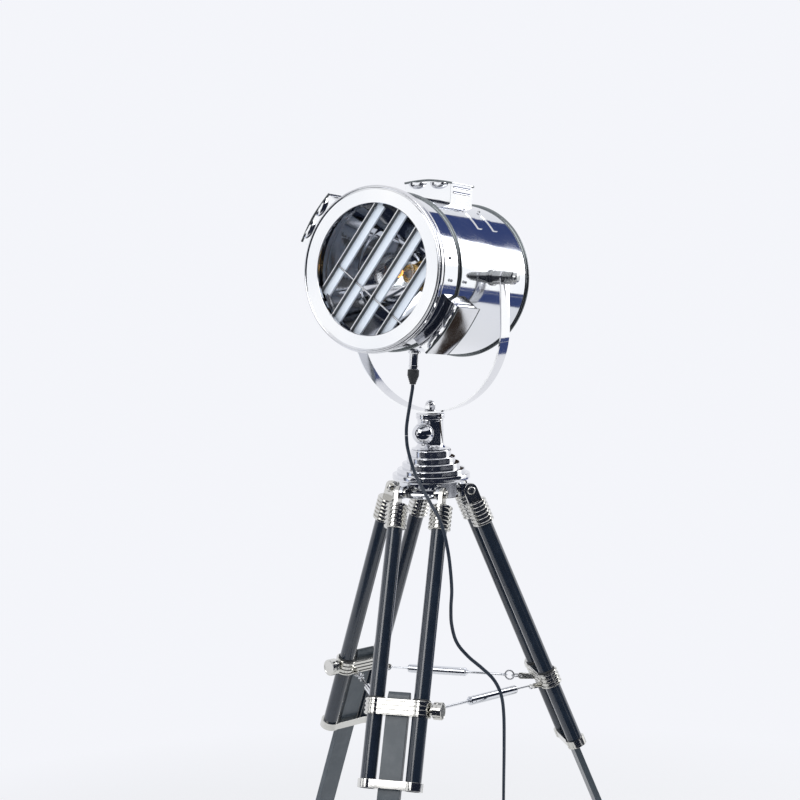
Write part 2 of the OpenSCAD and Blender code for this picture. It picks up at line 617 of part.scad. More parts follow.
bezel();
bezel_screws();
louvre_slats();
slat_rod();
slat_screws();
reflector();
lamp_holder();
bulb();
front_band();
mid_bead();
rear_can();
back_cover();
vent_top();
vent_right();
vent_left();
vent_screws();
cable_gland();
cable_sleeve();
pivot_collars();
pivot_bolts();
yoke();
pivot_nuts();
acorn_nut();
stud_washer();
cord_upper();
post();
stepped_dome();
hub_flange();
leg_drum();
pan_stud();
hinge_bolts();
cord_lower();
cord_coil();
plug();
pan_knob();
leg_ferrules(0);  // front_ferrules
leg_tubes(0);  // front_tubes
leg_clamp(0);  // front_clamp
leg_knob(0);  // front_knob
leg_slat(0);  // front_slat
leg_foot(0);  // front_foot
leg_links(0);  // front_links
leg_brace(0);  // front_brace
leg_ferrules(1);  // right_ferrules
leg_tubes(1);  // right_tubes
leg_clamp(1);  // right_clamp
leg_knob(1);  // right_knob
leg_slat(1);  // right_slat
leg_foot(1);  // right_foot
leg_links(1);  // right_links
leg_brace(1);  // right_brace
leg_ferrules(2);  // left_ferrules
leg_tubes(2);  // left_tubes
leg_clamp(2);  // left_clamp
leg_knob(2);  // left_knob
leg_slat(2);  // left_slat
leg_foot(2);  // left_foot
leg_links(2);  // left_links
leg_brace(2);  // left_brace
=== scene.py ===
import json
from math import asin, cos, pi, radians, sin, sqrt, tan

import bpy
from mathutils import Matrix, Vector


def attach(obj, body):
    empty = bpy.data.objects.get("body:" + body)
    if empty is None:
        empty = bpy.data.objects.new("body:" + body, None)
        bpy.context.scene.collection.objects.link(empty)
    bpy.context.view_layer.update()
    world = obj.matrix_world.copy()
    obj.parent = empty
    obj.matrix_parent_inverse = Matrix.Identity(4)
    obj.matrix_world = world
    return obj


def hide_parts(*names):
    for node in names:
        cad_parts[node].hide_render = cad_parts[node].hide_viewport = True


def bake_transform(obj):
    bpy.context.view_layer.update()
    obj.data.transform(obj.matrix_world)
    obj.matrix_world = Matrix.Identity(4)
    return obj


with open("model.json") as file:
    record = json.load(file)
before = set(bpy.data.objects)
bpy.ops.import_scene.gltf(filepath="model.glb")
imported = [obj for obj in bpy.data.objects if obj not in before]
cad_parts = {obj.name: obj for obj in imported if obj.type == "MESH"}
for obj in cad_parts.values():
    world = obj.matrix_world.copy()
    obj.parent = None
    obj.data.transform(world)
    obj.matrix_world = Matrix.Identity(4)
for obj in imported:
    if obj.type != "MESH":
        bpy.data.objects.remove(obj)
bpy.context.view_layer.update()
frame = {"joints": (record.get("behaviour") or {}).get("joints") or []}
print("frame loaded")

mm = 0.001
joints = {joint["name"]: joint for joint in frame["joints"]}
legNames = ["front", "right", "left"]


# small tools, each works on one object at a time

def deselectAll():
    bpy.ops.object.select_all(action="DESELECT")


def pick(piece):
    deselectAll()
    piece.select_set(True)
    bpy.context.view_layer.objects.active = piece


def place(piece, matrix):
    piece.matrix_world = matrix @ piece.matrix_world
    pick(piece)
    bpy.ops.object.transform_apply(location=True, rotation=True, scale=True)
    return piece


def smooth(piece, degrees=35):
    pick(piece)
    bpy.ops.object.shade_smooth_by_angle(angle=radians(degrees))
    level = piece.modifiers.new("level", "WEIGHTED_NORMAL")      # flat faces stay flat beside rounded edges
    level.keep_sharp = True
    bpy.ops.object.modifier_apply(modifier=level.name)
    return piece


def startAtPoint(name, point):
    deselectAll()
    bpy.ops.mesh.primitive_plane_add(size=mm, location=(0, 0, 0))
    piece = bpy.context.object
    piece.name = name
    bpy.ops.object.mode_set(mode="EDIT")
    bpy.ops.mesh.select_all(action="SELECT")
    bpy.ops.mesh.merge(type="CENTER")
    bpy.ops.transform.translate(value=point)
    return piece


def drawLine(points):
    for a, b in zip(points, points[1:]):
        step = [b[k] - a[k] for k in range(3)]
        bpy.ops.mesh.extrude_region_move(TRANSFORM_OT_translate={"value": step})


def closeUp():
    bpy.ops.mesh.select_all(action="SELECT")
    bpy.ops.mesh.remove_doubles(threshold=2e-6)
    bpy.ops.mesh.normals_make_consistent(inside=False)


# a turned piece: the outline is (radius, height) in millimetres, spun about Z
def turn(name, outline, matrix=None, steps=72, degrees=35):
    points = [(r * mm, 0, z * mm) for r, z in outline]
    piece = startAtPoint(name, points[0])
    drawLine(points)
    bpy.ops.mesh.select_all(action="SELECT")
    bpy.ops.mesh.spin(steps=steps, angle=2 * pi, center=(0, 0, 0), axis=(0, 0, 1))
    closeUp()
    bpy.ops.object.mode_set(mode="OBJECT")
    smooth(piece, degrees)
    return place(piece, matrix) if matrix else piece


# a flat piece: the outline is (x, y) in millimetres, pushed up Z by its thickness
def plate(name, outline, thickness, matrix=None, edge=0.5, segments=2, degrees=35):
    points = [(x * mm, y * mm, 0) for x, y in outline]
    piece = startAtPoint(name, points[0])
    drawLine(points + points[:1])
    bpy.ops.mesh.select_all(action="SELECT")
    bpy.ops.mesh.remove_doubles(threshold=2e-6)
    bpy.ops.mesh.select_all(action="SELECT")
    bpy.ops.mesh.edge_face_add()
    bpy.ops.mesh.extrude_region_move(TRANSFORM_OT_translate={"value": (0, 0, thickness * mm)})
    closeUp()
    bpy.ops.object.mode_set(mode="OBJECT")
    if edge:
        roundEdges(piece, edge, segments)
    smooth(piece, degrees)
    return place(piece, matrix) if matrix else piece


def roundEdges(piece, width, segments=2, degrees=30):
    pick(piece)
    bevel = piece.modifiers.new("edges", "BEVEL")
    bevel.width = width * mm
    bevel.segments = segments
    bevel.limit_method = "ANGLE"
    bevel.angle_limit = radians(degrees)
    bpy.ops.object.modifier_apply(modifier=bevel.name)
    return piece


def cut(piece, *cutters, operation="DIFFERENCE"):
    for cutter in cutters:
        pick(piece)
        boolean = piece.modifiers.new("cut", "BOOLEAN")
        boolean.operation = operation
        boolean.object = cutter
        boolean.solver = "EXACT"
        bpy.ops.object.modifier_apply(modifier=boolean.name)
        bpy.data.objects.remove(cutter)
    return piece


def block(name, size, centre, matrix=None, edge=0.0):
    deselectAll()
    bpy.ops.mesh.primitive_cube_add(size=1, location=[v * mm for v in centre], scale=[v * mm for v in size])
    piece = bpy.context.object
    piece.name = name
    bpy.ops.object.transform_apply(location=True, rotation=True, scale=True)
    if edge:
        roundEdges(piece, edge)
        smooth(piece)
    return place(piece, matrix) if matrix else piece


def copyOf(piece, matrix):
    deselectAll()
    twin = piece.copy()
    twin.data = piece.data.copy()
    bpy.context.collection.objects.link(twin)
    return place(twin, matrix)


def join(name, pieces):
    deselectAll()
    for piece in pieces:
        piece.select_set(True)
    bpy.context.view_layer.objects.active = pieces[0]
    bpy.ops.object.join()
    whole = bpy.context.object
    whole.name = name
    return whole


# a round wire through points in millimetres
def wire(name, points, radius, matrix=None, cyclic=False, sides=3):
    curve = bpy.data.curves.new(name, "CURVE")
    curve.dimensions = "3D"
    curve.bevel_depth = radius * mm
    curve.bevel_resolution = sides
    curve.use_fill_caps = True
    spline = curve.splines.new("POLY")
    spline.points.add(len(points) - 1)
    for slot, point in zip(spline.points, points):
        slot.co = (*[v * mm for v in point], 1)
    spline.use_cyclic_u = cyclic
    piece = bpy.data.objects.new(name, curve)
    bpy.context.collection.objects.link(piece)
    pick(piece)
    bpy.ops.object.convert(target="MESH")
    piece = bpy.context.object
    smooth(piece, 50)
    return place(piece, matrix) if matrix else piece


# points round a circle, from one angle to another
def arc(cx, cy, radius, start, end, count):
    angles = [radians(start + (end - start) * k / count) for k in range(count + 1)]
    return [(cx + radius * cos(a), cy + radius * sin(a)) for a in angles]


def shift(x, y, z):
    return Matrix.Translation((x * mm, y * mm, z * mm))


def spinX(degrees):
    return Matrix.Rotation(radians(degrees), 4, "X")


def spinY(degrees):
    return Matrix.Rotation(radians(degrees), 4, "Y")


def spinZ(degrees):
    return Matrix.Rotation(radians(degrees), 4, "Z")


def axes(x, y, z, origin):
    columns = [Vector(x).normalized(), Vector(y).normalized(), Vector(z).normalized()]
    turned = Matrix([[c[row] for c in columns] for row in range(3)]).to_4x4()
    return Matrix.Translation(origin) @ turned


def finishPiece(piece, material, body, slot, *nodes):
    if material:
        piece.data.materials.clear()
        piece.data.materials.append(material)
    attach(piece, body)
    if nodes:
        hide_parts(*nodes)
    return piece


photoCamera = {"place": (0, -3.9, 1.70), "left": 0.85, "down": 6.53, "roll": -1.0, "lens": 91.8}
bpy.ops.object.camera_add()
camera = bpy.context.object
camera.data.lens = photoCamera["lens"]
camera.data.sensor_width = 36
camera.data.clip_end = 60
camera.matrix_world = (Matrix.Translation(photoCamera["place"]) @ spinZ(photoCamera["left"])
                       @ spinX(90 - photoCamera["down"]) @ spinZ(photoCamera["roll"]))
bpy.context.scene.camera = camera
print("camera set")


# frames at the model's joints, and one at the height of the hub

pivot = Vector(joints["head_tilt"]["pos_m"])
pivotRight = Vector(joints["head_tilt"]["axis"]).normalized()
upward = Vector((0, 0, 1))
yokeFrame = axes(pivotRight, upward.cross(pivotRight), upward, pivot)
headTilt = -7
headFrame = yokeFrame @ spinX(headTilt) @ spinX(90)     # x to the right pivot, y up, z along the beam
hubTop = 1.110
hubFrame = Matrix.Translation((0, 0, hubTop))
knobJoint = joints["pan_knob_turn"]


def legFrame(name):
    fold = joints["leg_fold_" + name]
    along = Vector(joints["leg_slide_" + name]["axis"])
    across = Vector(fold["axis"])
    return axes(across.cross(along), across, along, fold["pos_m"])


def braceFrame(name):
    swing = joints["brace_swing_" + name]
    hinge = Vector(swing["axis"])
    return axes(hinge.cross(upward), hinge, upward, swing["pos_m"])


def newMaterial(name, colour, metallic=0.0, roughness=0.4):
    material = bpy.data.materials.new(name)
    material.use_nodes = True
    shader = material.node_tree.nodes["Principled BSDF"]
    shader.inputs["Base Color"].default_value = (*colour, 1)
    shader.inputs["Metallic"].default_value = metallic
    shader.inputs["Roughness"].default_value = roughness
    return material, material.node_tree, shader


def addNode(tree, kind, **values):
    node = tree.nodes.new(kind)
    for key, value in values.items():
        if key in node.inputs:
            node.inputs[key].default_value = value
        else:
            setattr(node, key, value)
    return node


def objectNoise(tree, scale, detail=4.0, roughness=0.55, stretch=(1, 1, 1)):
    coordinates = addNode(tree, "ShaderNodeTexCoord")
    mapping = addNode(tree, "ShaderNodeMapping")
    mapping.inputs["Scale"].default_value = stretch
    noise = addNode(tree, "ShaderNodeTexNoise", Scale=scale, Detail=detail, Roughness=roughness)
    tree.links.new(coordinates.outputs["Object"], mapping.inputs["Vector"])
    tree.links.new(mapping.outputs["Vector"], noise.inputs["Vector"])
    return noise


def ramp(tree, source, low, high, stops=(0.35, 0.65)):
    node = addNode(tree, "ShaderNodeMapRange")
    node.inputs["From Min"].default_value = stops[0]
    node.inputs["From Max"].default_value = stops[1]
    node.inputs["To Min"].default_value = low
    node.inputs["To Max"].default_value = high
    tree.links.new(source, node.inputs["Value"])
    return node.outputs["Result"]


def mixColour(tree, factor, a, b):
    node = addNode(tree, "ShaderNodeMix", data_type="RGBA")
    node.inputs["A"].default_value = (*a, 1)
    node.inputs["B"].default_value = (*b, 1)
    tree.links.new(factor, node.inputs["Factor"])
    return node.outputs["Result"]


def addBump(tree, shader, height, strength, distance, after=None):
    bump = addNode(tree, "ShaderNodeBump")
    bump.inputs["Strength"].default_value = strength
    bump.inputs["Distance"].default_value = distance
    tree.links.new(height, bump.inputs["Height"])
    if after:
        tree.links.new(after.outputs["Normal"], bump.inputs["Normal"])
    tree.links.new(bump.outputs["Normal"], shader.inputs["Normal"])
    return bump


# plated metal: faint smears of handling change its gloss, hairlines and slow waves change its reflections
def platedMetal(name, colour, tint, gloss=(0.045, 0.13), hairlines=0.05, waves=0.05, stretch=(1, 1, 1)):
    material, tree, shader = newMaterial(name, colour, 1.0)
    smears = objectNoise(tree, 14, 6, 0.6)
    tree.links.new(ramp(tree, smears.outputs["Fac"], *gloss), shader.inputs["Roughness"])
    cloud = objectNoise(tree, 5, 3, 0.5)
    tone = ramp(tree, cloud.outputs["Fac"], 0, 1, (0.3, 0.7))
    tree.links.new(mixColour(tree, tone, colour, tint), shader.inputs["Base Color"])
    slow = objectNoise(tree, 22, 1, 0.4)
    first = addBump(tree, shader, slow.outputs["Fac"], waves, 0.0006)
    fine = objectNoise(tree, 900, 3, 0.6, stretch)
    addBump(tree, shader, fine.outputs["Fac"], hairlines, 0.00004, first)
    return material


def paintedMetal(name, colour, worn, gloss=(0.24, 0.36), grain=0.12, coat=0.25):
    material, tree, shader = newMaterial(name, colour)
    shader.inputs["Coat Weight"].default_value = coat
    shader.inputs["Coat Roughness"].default_value = 0.06
    smears = objectNoise(tree, 18, 5, 0.6)
    tree.links.new(ramp(tree, smears.outputs["Fac"], *gloss), shader.inputs["Roughness"])
    dust = objectNoise(tree, 40, 6, 0.7)
    tone = ramp(tree, dust.outputs["Fac"], 0, 1, (0.45, 0.85))
    tree.links.new(mixColour(tree, tone, colour, worn), shader.inputs["Base Color"])
    speckle = objectNoise(tree, 1600, 2, 0.5)
    addBump(tree, shader, speckle.outputs["Fac"], grain, 0.00005)
    return material


def softPlastic(name, colour, worn, gloss=(0.5, 0.68), grain=0.3, size=900):
    material, tree, shader = newMaterial(name, colour)
    patches = objectNoise(tree, 60, 4, 0.6)
    tree.links.new(ramp(tree, patches.outputs["Fac"], *gloss), shader.inputs["Roughness"])
    tone = ramp(tree, patches.outputs["Fac"], 0, 1, (0.4, 0.8))
    tree.links.new(mixColour(tree, tone, colour, worn), shader.inputs["Base Color"])
    speckle = objectNoise(tree, size, 3, 0.6)
    addBump(tree, shader, speckle.outputs["Fac"], grain, 0.00012)
    return material


def clearGlass(name):
    material, tree, shader = newMaterial(name, (0.97, 0.98, 0.98), 0, 0.02)
    shader.inputs["Transmission Weight"].default_value = 1
    shader.inputs["IOR"].default_value = 1.45
    smears = objectNoise(tree, 30, 3)
    tree.links.new(ramp(tree, smears.outputs["Fac"], 0.0, 0.04), shader.inputs["Roughness"])
    return material


nickel = platedMetal("polishedNickel", (0.80, 0.80, 0.81), (0.72, 0.73, 0.76))
spunNickel = platedMetal("spunBowl", (0.80, 0.81, 0.83), (0.66, 0.68, 0.73), (0.03, 0.09), 0.08, 0.12)
sheetNickel = platedMetal("barrelSheet", (0.78, 0.79, 0.81), (0.70, 0.72, 0.76), (0.05, 0.12), 0.06, 0.09)
screwSteel = platedMetal("screwSteel", (0.60, 0.61, 0.63), (0.45, 0.46, 0.48), (0.16, 0.32), 0.15, 0.02)
# painted shade: the polished nickel made darker for the beads, the cover's rolled rim and the vent roofs'
# hems, standing for the shade in their reflections
shadedBeadNickel = platedMetal("shadedBeadNickel", (0.25, 0.27, 0.275), (0.19, 0.21, 0.215), (0.20, 0.30), 0.08)
# painted shade: the polished nickel made darker and a little rougher for the pivot collars and nuts, standing
# for the dark rings in their reflections
shadedSatinNickel = platedMetal("shadedSatinNickel", (0.52, 0.53, 0.53), (0.42, 0.43, 0.43), (0.18, 0.28), 0.08)
castNickel = platedMetal("castNickel", (0.74, 0.735, 0.71), (0.62, 0.61, 0.57), (0.09, 0.20), 0.08)
brass = platedMetal("lampBrass", (0.83, 0.56, 0.22), (0.62, 0.36, 0.12), (0.16, 0.34), 0.1, 0.02)
blackTube = paintedMetal("tubeBlack", (0.010, 0.017, 0.030), (0.018, 0.028, 0.045), (0.16, 0.24), 0.06, 0.7)
blackBar = paintedMetal("barBlack", (0.050, 0.066, 0.082), (0.080, 0.098, 0.116), (0.34, 0.48), 0.2)
hemPaint = paintedMetal("hemPaint", (0.80, 0.88, 0.98), (0.70, 0.80, 0.94), (0.30, 0.42), 0.1)
slatPaint = paintedMetal("slatPaint", (0.022, 0.024, 0.028), (0.055, 0.058, 0.064), (0.30, 0.44), 0.3)
rubber = softPlastic("rubber", (0.022, 0.024, 0.027), (0.045, 0.048, 0.052))
cordSkin = softPlastic("cordSkin", (0.016, 0.026, 0.044), (0.030, 0.044, 0.066), (0.30, 0.42), 0.12)
porcelain = softPlastic("porcelain", (0.72, 0.70, 0.66), (0.60, 0.57, 0.52), (0.2, 0.3), 0.05)
glass = clearGlass("clearGlass")
filamentWire = platedMetal("filamentWire", (0.75, 0.34, 0.08), (0.5, 0.2, 0.05), (0.3, 0.5))
filamentGlow = filamentWire.node_tree.nodes["Principled BSDF"]      # a faint warm glow
filamentGlow.inputs["Emission Color"].default_value = (1, 0.42, 0.08, 1)
filamentGlow.inputs["Emission Strength"].default_value = 4
print("materials made")

# the cords come first of all the pieces; their points are in millimetres
cord = {
    "width": 7.0, "thick": 4.6, "facing": (0.83, 0.55, 0), "onEdgeFrom": 700, "onEdgeTo": 14,
    "coilAt": (215, -215), "coilTurns": [(43.5, 3.6), (36.5, 3.6), (36.5, 10.6), (43.5, 10.6)],
    "coilStart": 225, "coilEnd": -45, "plugTurn": 45, "plugLead": 26, "plugHeight": 10.5,
    "upper": [(-35, -52, 1270), (-39, -57, 1248), (-43, -61, 1226), (-45.5, -63.5, 1208), (-46, -65, 1193)],
    "lower": [(-46, -65, 1192.5), (-45, -67, 1176), (-42, -70, 1160), (-37, -74, 1141), (-29, -80, 1118),
              (-17, -92, 1095), (-2, -110, 1069), (11, -124, 1048), (21, -132, 1022), (27, -137, 995),
              (32, -140, 960), (35, -140, 911), (33, -137, 875), (34, -132, 841), (43, -126, 806),
              (64, -118, 777), (90, -110, 752), (112, -103, 728), (126, -98, 698), (131, -98, 660),
              (131, -102, 600), (129, -108, 520), (127, -114, 430), (125, -120, 330), (122, -127, 230),
              (118, -136, 140), (115, -146, 70), (117, -160, 30), (124, -176, 10), (135, -196, 4),
              (149, -210.5, 3.6), (166, -227.5, 3.6)],
}
gland = {"along": 33, "foot": 146.1, "tubeR": 9, "tubeEnd": 180, "end": 208}


# a smooth line through the points, in a few steps from each to the next
def throughPoints(points, steps):
    line = []
    for k in range(len(points) - 1):
        a, b = Vector(points[max(k - 1, 0)]), Vector(points[k])
        c, d = Vector(points[k + 1]), Vector(points[min(k + 2, len(points) - 1)])
        for n in range(steps):
            t = n / steps
            line.append(0.5 * (2 * b + (c - a) * t + (2 * a - 5 * b + 4 * c - d) * t * t
                               + (3 * b - a - 3 * c + d) * t ** 3))
    return line + [Vector(points[-1])]


def lineLength(line):
    return sum((b - a).length for a, b in zip(line, line[1:]))


# a twin cord: two round cores side by side in one skin, which turns on edge between two heights
def sweepCord(name, line, onEdgeFrom=0.0, onEdgeTo=0.0):
    half, thick = cord["width"] / 2, cord["thick"] / 2
    core = half - thick
    outline = (arc(core, 0, thick, -118, 118, 7) + [(0, thick * 0.66)]
               + arc(-core, 0, thick, 62, 298, 7) + [(0, -thick * 0.66)])
    facing = Vector(cord["facing"])
    vertices, faces = [], []
    count = len(outline)
    for k, point in enumerate(line):
        heading = (line[min(k + 1, len(line) - 1)] - line[max(k - 1, 0)]).normalized()
        if onEdgeTo and point.z < onEdgeTo:
            side = Vector((0, 0, -1))
            side = (side - heading * side.dot(heading)).normalized()
        else:
            side = (facing - heading * facing.dot(heading)).normalized()
            if onEdgeTo and point.z < onEdgeFrom:
                share = (onEdgeFrom - point.z) / (onEdgeFrom - onEdgeTo)
                side = Matrix.Rotation(-share * pi / 2, 3, heading) @ side
        flat = heading.cross(side)
        vertices += [(point + side * x + flat * y) * mm for x, y in outline]
        for n in range(count if k else 0):
            m = (n + 1) % count
            faces.append(((k - 1) * count + n, (k - 1) * count + m, k * count + m, k * count + n))
    faces += [tuple(range(count - 1, -1, -1)), tuple(range((len(line) - 1) * count, len(line) * count))]
    mesh = bpy.data.meshes.new(name)
    mesh.from_pydata(vertices, [], faces)
    piece = bpy.data.objects.new(name, mesh)
    bpy.context.collection.objects.link(piece)
    pick(piece)
    bpy.ops.object.mode_set(mode="EDIT")
    closeUp()
    bpy.ops.object.mode_set(mode="OBJECT")
    return smooth(piece, 60)


# each turn moves over to the next one's place in its last quarter
def coilLine():
    cx, cy = cord["coilAt"]
    turns = cord["coilTurns"]
    line = []
    for k, (radius, height) in enumerate(turns):
        last = k == len(turns) - 1
        after = (radius, height) if last else turns[k + 1]
        for n in range(11 if last else 40):
            ease = 0 if last else max(0, (n - 28) / 12)
            ease = ease * ease * (3 - 2 * ease)
            angle = radians(cord["coilStart"] + 9 * n)
            r = radius + (after[0] - radius) * ease
            z = height + (after[1] - height) * ease
            line.append(Vector((cx + r * cos(angle), cy + r * sin(angle), z)))
    return line


cordExit = headFrame @ Vector((0, -gland["end"] * mm, gland["along"] * mm)) / mm
exitWay = (headFrame.to_3x3() @ Vector((0, -1, 0))).normalized()
upperLine = throughPoints([cordExit + 0.3 * exitWay, cordExit + 8 * exitWay] + cord["upper"], 6)
cordUpper = sweepCord("cordUpper", upperLine)

# the lower run: down from the yoke, into the coil, and out of it to the plug
plugAt = Vector((*cord["coilAt"], cord["plugHeight"]))
for radius, angle in ((cord["coilTurns"][-1][0], cord["coilEnd"]), (cord["plugLead"], cord["plugTurn"])):
    plugAt += Vector((radius * cos(radians(angle)), radius * sin(radians(angle)), 0))
hanging = throughPoints(cord["lower"], 6)
coil = coilLine()
intoCoil = throughPoints([hanging[-6], hanging[-1], coil[0], coil[1]], 5)[5:10]
outOfCoil = throughPoints([coil[-1], coil[-1].lerp(plugAt, 0.5), plugAt], 4)[1:]
lowerLine = hanging[:-1] + intoCoil + coil + outOfCoil
cordLower = sweepCord("cordLower", lowerLine, cord["onEdgeFrom"], cord["onEdgeTo"])
print("cord lengths", lineLength(upperLine), lineLength(lowerLine))


# a place on the barrel: an angle clockwise from the top as seen from the front, and a distance along it
def onDrum(angle, along):
    return headFrame @ spinZ(-angle) @ shift(0, 0, along)


# a small screw head standing on the plane z = 0, with a cross slot
def makeScrew(name, radius, height):
    screw = turn(name, [(0, 0), (radius, 0), (radius, height * 0.45), (radius * 0.93, height * 0.75),
                        (radius * 0.7, height * 0.95), (0, height)], steps=20, degrees=50)
    return cut(screw, block("slotA", (radius * 1.3, radius * 0.28, height), (0, 0, height)),
               block("slotB", (radius * 0.28, radius * 1.3, height), (0, 0, height)))


def scatter(name, master, matrices):
    copies = [copyOf(master, matrix) for matrix in matrices]
    bpy.data.objects.remove(master)
    return join(name, copies)


# colours the faces that look along a direction with a second material
def facing(piece, direction, material, least=0.8):
    piece.data.materials.append(material)
    way = Vector(direction).normalized()
    for face in piece.data.polygons:
        if face.normal.dot(way) > least:
            face.material_index = len(piece.data.materials) - 1
    return piece


# bezel: rolled lip, groove, rolled rim and skirt
bezel = {"open": 122, "front": 189, "back": 183, "inside": 146.4, "end": 174, "groove": 148.6,
         "grooveDeep": 1.7, "rim": (152, 186, 3), "skirt": (152.5, 176.5, 2.5),
         "screwAngles": (80, 200, 350), "screwsAt": 145}
mouth, face = bezel["open"], bezel["front"]
groove, bottom = bezel["groove"], bezel["front"] - bezel["grooveDeep"]
bezelOutline = [(mouth, bezel["back"]), (mouth, face - 1), (mouth + 0.4, face - 0.3), (mouth + 1.3, face),
                (mouth + 3, face), (groove - 1.6, face), (groove - 1.4, face - 0.4),
                (groove - 0.6, bottom), (groove + 0.4, bottom)]
bezelOutline += arc(*bezel["rim"], 150, -52, 14) + arc(*bezel["skirt"], 58, -90, 10)
bezelOutline += [(bezel["inside"], bezel["end"]), (bezel["inside"], bezel["back"]), (mouth, bezel["back"])]
bezelRing = turn("bezelRing", bezelOutline, headFrame, 128)
finishPiece(bezelRing, nickel, "head", "polished_nickel", "bezel")

# louvre slats: thin plates with a bright front edge and a pale stepped flange at the back
louvre = {"turn": 55, "gap": 51.3, "offsets": [-1.44, -0.46, 0.54, 1.56], "front": 181, "depth": 10,
          "thick": 2, "reach": 144.2, "flange": 16, "flangeStep": 9, "rodAt": -44, "rodBack": 7.5,
          "rodR": 1.75, "ringR": 3}
slats = []
for offset in louvre["offsets"]:
    reach, thick, flange, step = louvre["reach"], louvre["thick"], louvre["flange"], louvre["flangeStep"]
    low, high = louvre["front"] - louvre["depth"], louvre["front"]
    half = sqrt(reach ** 2 - (abs(offset) * louvre["gap"] + thick / 2) ** 2) - 0.2
    slat = plate("slat", [(-half, low), (half, low), (half, high - 2), (half - 2, high), (2 - half, high),
                          (-half, high - 2)], thick, spinX(90), 0.35)
    wide = sqrt(reach ** 2 - (abs(offset) * louvre["gap"] + flange) ** 2) - 7
    hem = plate("hem", [(-wide, 0), (wide, 0), (wide, -step), (wide - 5, -step), (wide - 5, -flange),
                        (5 - wide, -flange), (5 - wide, -step), (-wide, -step)], 1.2,
                shift(0, 0.3 - thick, low - 1), 0.3)
    lip = block("lip", (2 * wide - 14, 1.2, 4.2), (0, 0.9 - thick - flange, low - 2.9), None, 0.3)
    for part in (hem, lip):
        part.data.materials.append(hemPaint)
    slat.data.materials.append(slatPaint)
    facing(slat, (0, 0, 1), nickel, 0.55)
    slat = join("slat", [slat, hem, lip])
    across = thick / 2 - offset * louvre["gap"]
    slats.append(place(slat, headFrame @ spinZ(louvre["turn"]) @ shift(0, across, 0)))
louvres = join("louvreSlats", slats)
finishPiece(louvres, None, "head", "slat_black", "louvre_slats")


# a place at the height of the rod, across and along the slats
def amongSlats(x, y):
    return headFrame @ spinZ(louvre["turn"]) @ shift(x, y, louvre["front"] - louvre["rodBack"]) @ spinX(90)


# the rod has a small ring on each side of every slat
rodStart = louvre["offsets"][0] * louvre["gap"] - 4
rodEnd = sqrt(louvre["reach"] ** 2 - louvre["rodAt"] ** 2) - 0.5
rodOutline = [(0, rodStart), (1.3, rodStart), (louvre["rodR"], rodStart + 0.6)]
for offset in louvre["offsets"]:
    for start in (offset * louvre["gap"] - 3.1, offset * louvre["gap"] + 1.1):
        rodOutline += [(louvre["rodR"], start), (louvre["ringR"], start), (louvre["ringR"], start + 2),
                       (louvre["rodR"], start + 2)]
rodOutline += [(louvre["rodR"], rodEnd), (0, rodEnd)]
slatRod = turn("slatRod", rodOutline, amongSlats(louvre["rodAt"], 0), 20)
finishPiece(slatRod, screwSteel, "head", "screw", "slat_rod")

slatScrews = scatter("slatScrews", makeScrew("slatScrew", 3, 2.3), [
    amongSlats(sqrt(bezel["open"] ** 2 - (offset * louvre["gap"]) ** 2) - 9, -offset * louvre["gap"] - 1)
    for offset in louvre["offsets"]])
finishPiece(slatScrews, screwSteel, "head", "screw", "slat_screws")

# reflector: a spun bowl, its outer third in fine steps
reflector = {"neck": 20.5, "rim": 138, "back": 40, "deep": 112, "flange": 144.1, "flangeAt": 152,
             "wall": 1.1, "steps": 56, "ribs": (96, 134), "ribDeep": 0.55}


def bowlHeight(r):
    neck, rim = reflector["neck"], reflector["rim"]
    return reflector["back"] + reflector["deep"] * (r * r - neck ** 2) / (rim ** 2 - neck ** 2)


def ribHeight(r):
    return reflector["ribDeep"] if reflector["ribs"][0] < r < reflector["ribs"][1] else 0


inner = []
for k in range(reflector["steps"] + 1):
    r = reflector["neck"] + (reflector["rim"] - reflector["neck"]) * k / reflector["steps"]
    inner.append((r, bowlHeight(r) + ribHeight(r) * (k % 2)))
outer = [(r, z - reflector["wall"] - ribHeight(r)) for r, z in inner[::-4]]
edge, top = reflector["flange"], reflector["flangeAt"]
bowl = turn("spunBowl", inner + [(edge, top), (edge, top - 1.2)] + outer + inner[:1], headFrame, 96, 20)
finishPiece(bowl, spunNickel, "head", "reflector", "reflector")

# lampholder: knurled brass shell on a stem from the back cover
holder = {"radius": 19, "foot": -148.3, "stem": 6, "ribs": 30, "ribDeep": 0.9, "shellAt": 22.5,
          "shellLong": 22}
ridges = []
for k in range(2 * holder["ribs"]):
    r = holder["radius"] - (0 if k % 2 else holder["ribDeep"])
    ridges.append((r * cos(pi * k / holder["ribs"]), r * sin(pi * k / holder["ribs"])))
shell = plate("shell", ridges, holder["shellLong"], headFrame @ shift(0, 0, holder["shellAt"]), 0)
foot, stem = holder["foot"], holder["stem"]
coreOutline = [(0, foot), (14, foot), (14, foot + 5), (12.5, foot + 6.3), (stem, foot + 6.8), (stem, 13.5),
               (16, 14), (16, 22), (18.9, 23), (18.9, 26), (17.5, 27), (17.5, 43), (18.9, 44.6), (18.9, 47),
               (17.6, 48), (17.6, 50), (18.9, 51), (18.9, 53), (17.6, 54), (17.6, 56), (18.9, 57),
               (18.9, 59.6), (18.2, 60), (14.2, 60), (14.2, 57.5), (0, 57.5)]
core = turn("core", coreOutline, headFrame, 60)
lampHolder = join("lampHolder", [shell, core])
finishPiece(lampHolder, brass, "head", "brass", "lamp_holder")

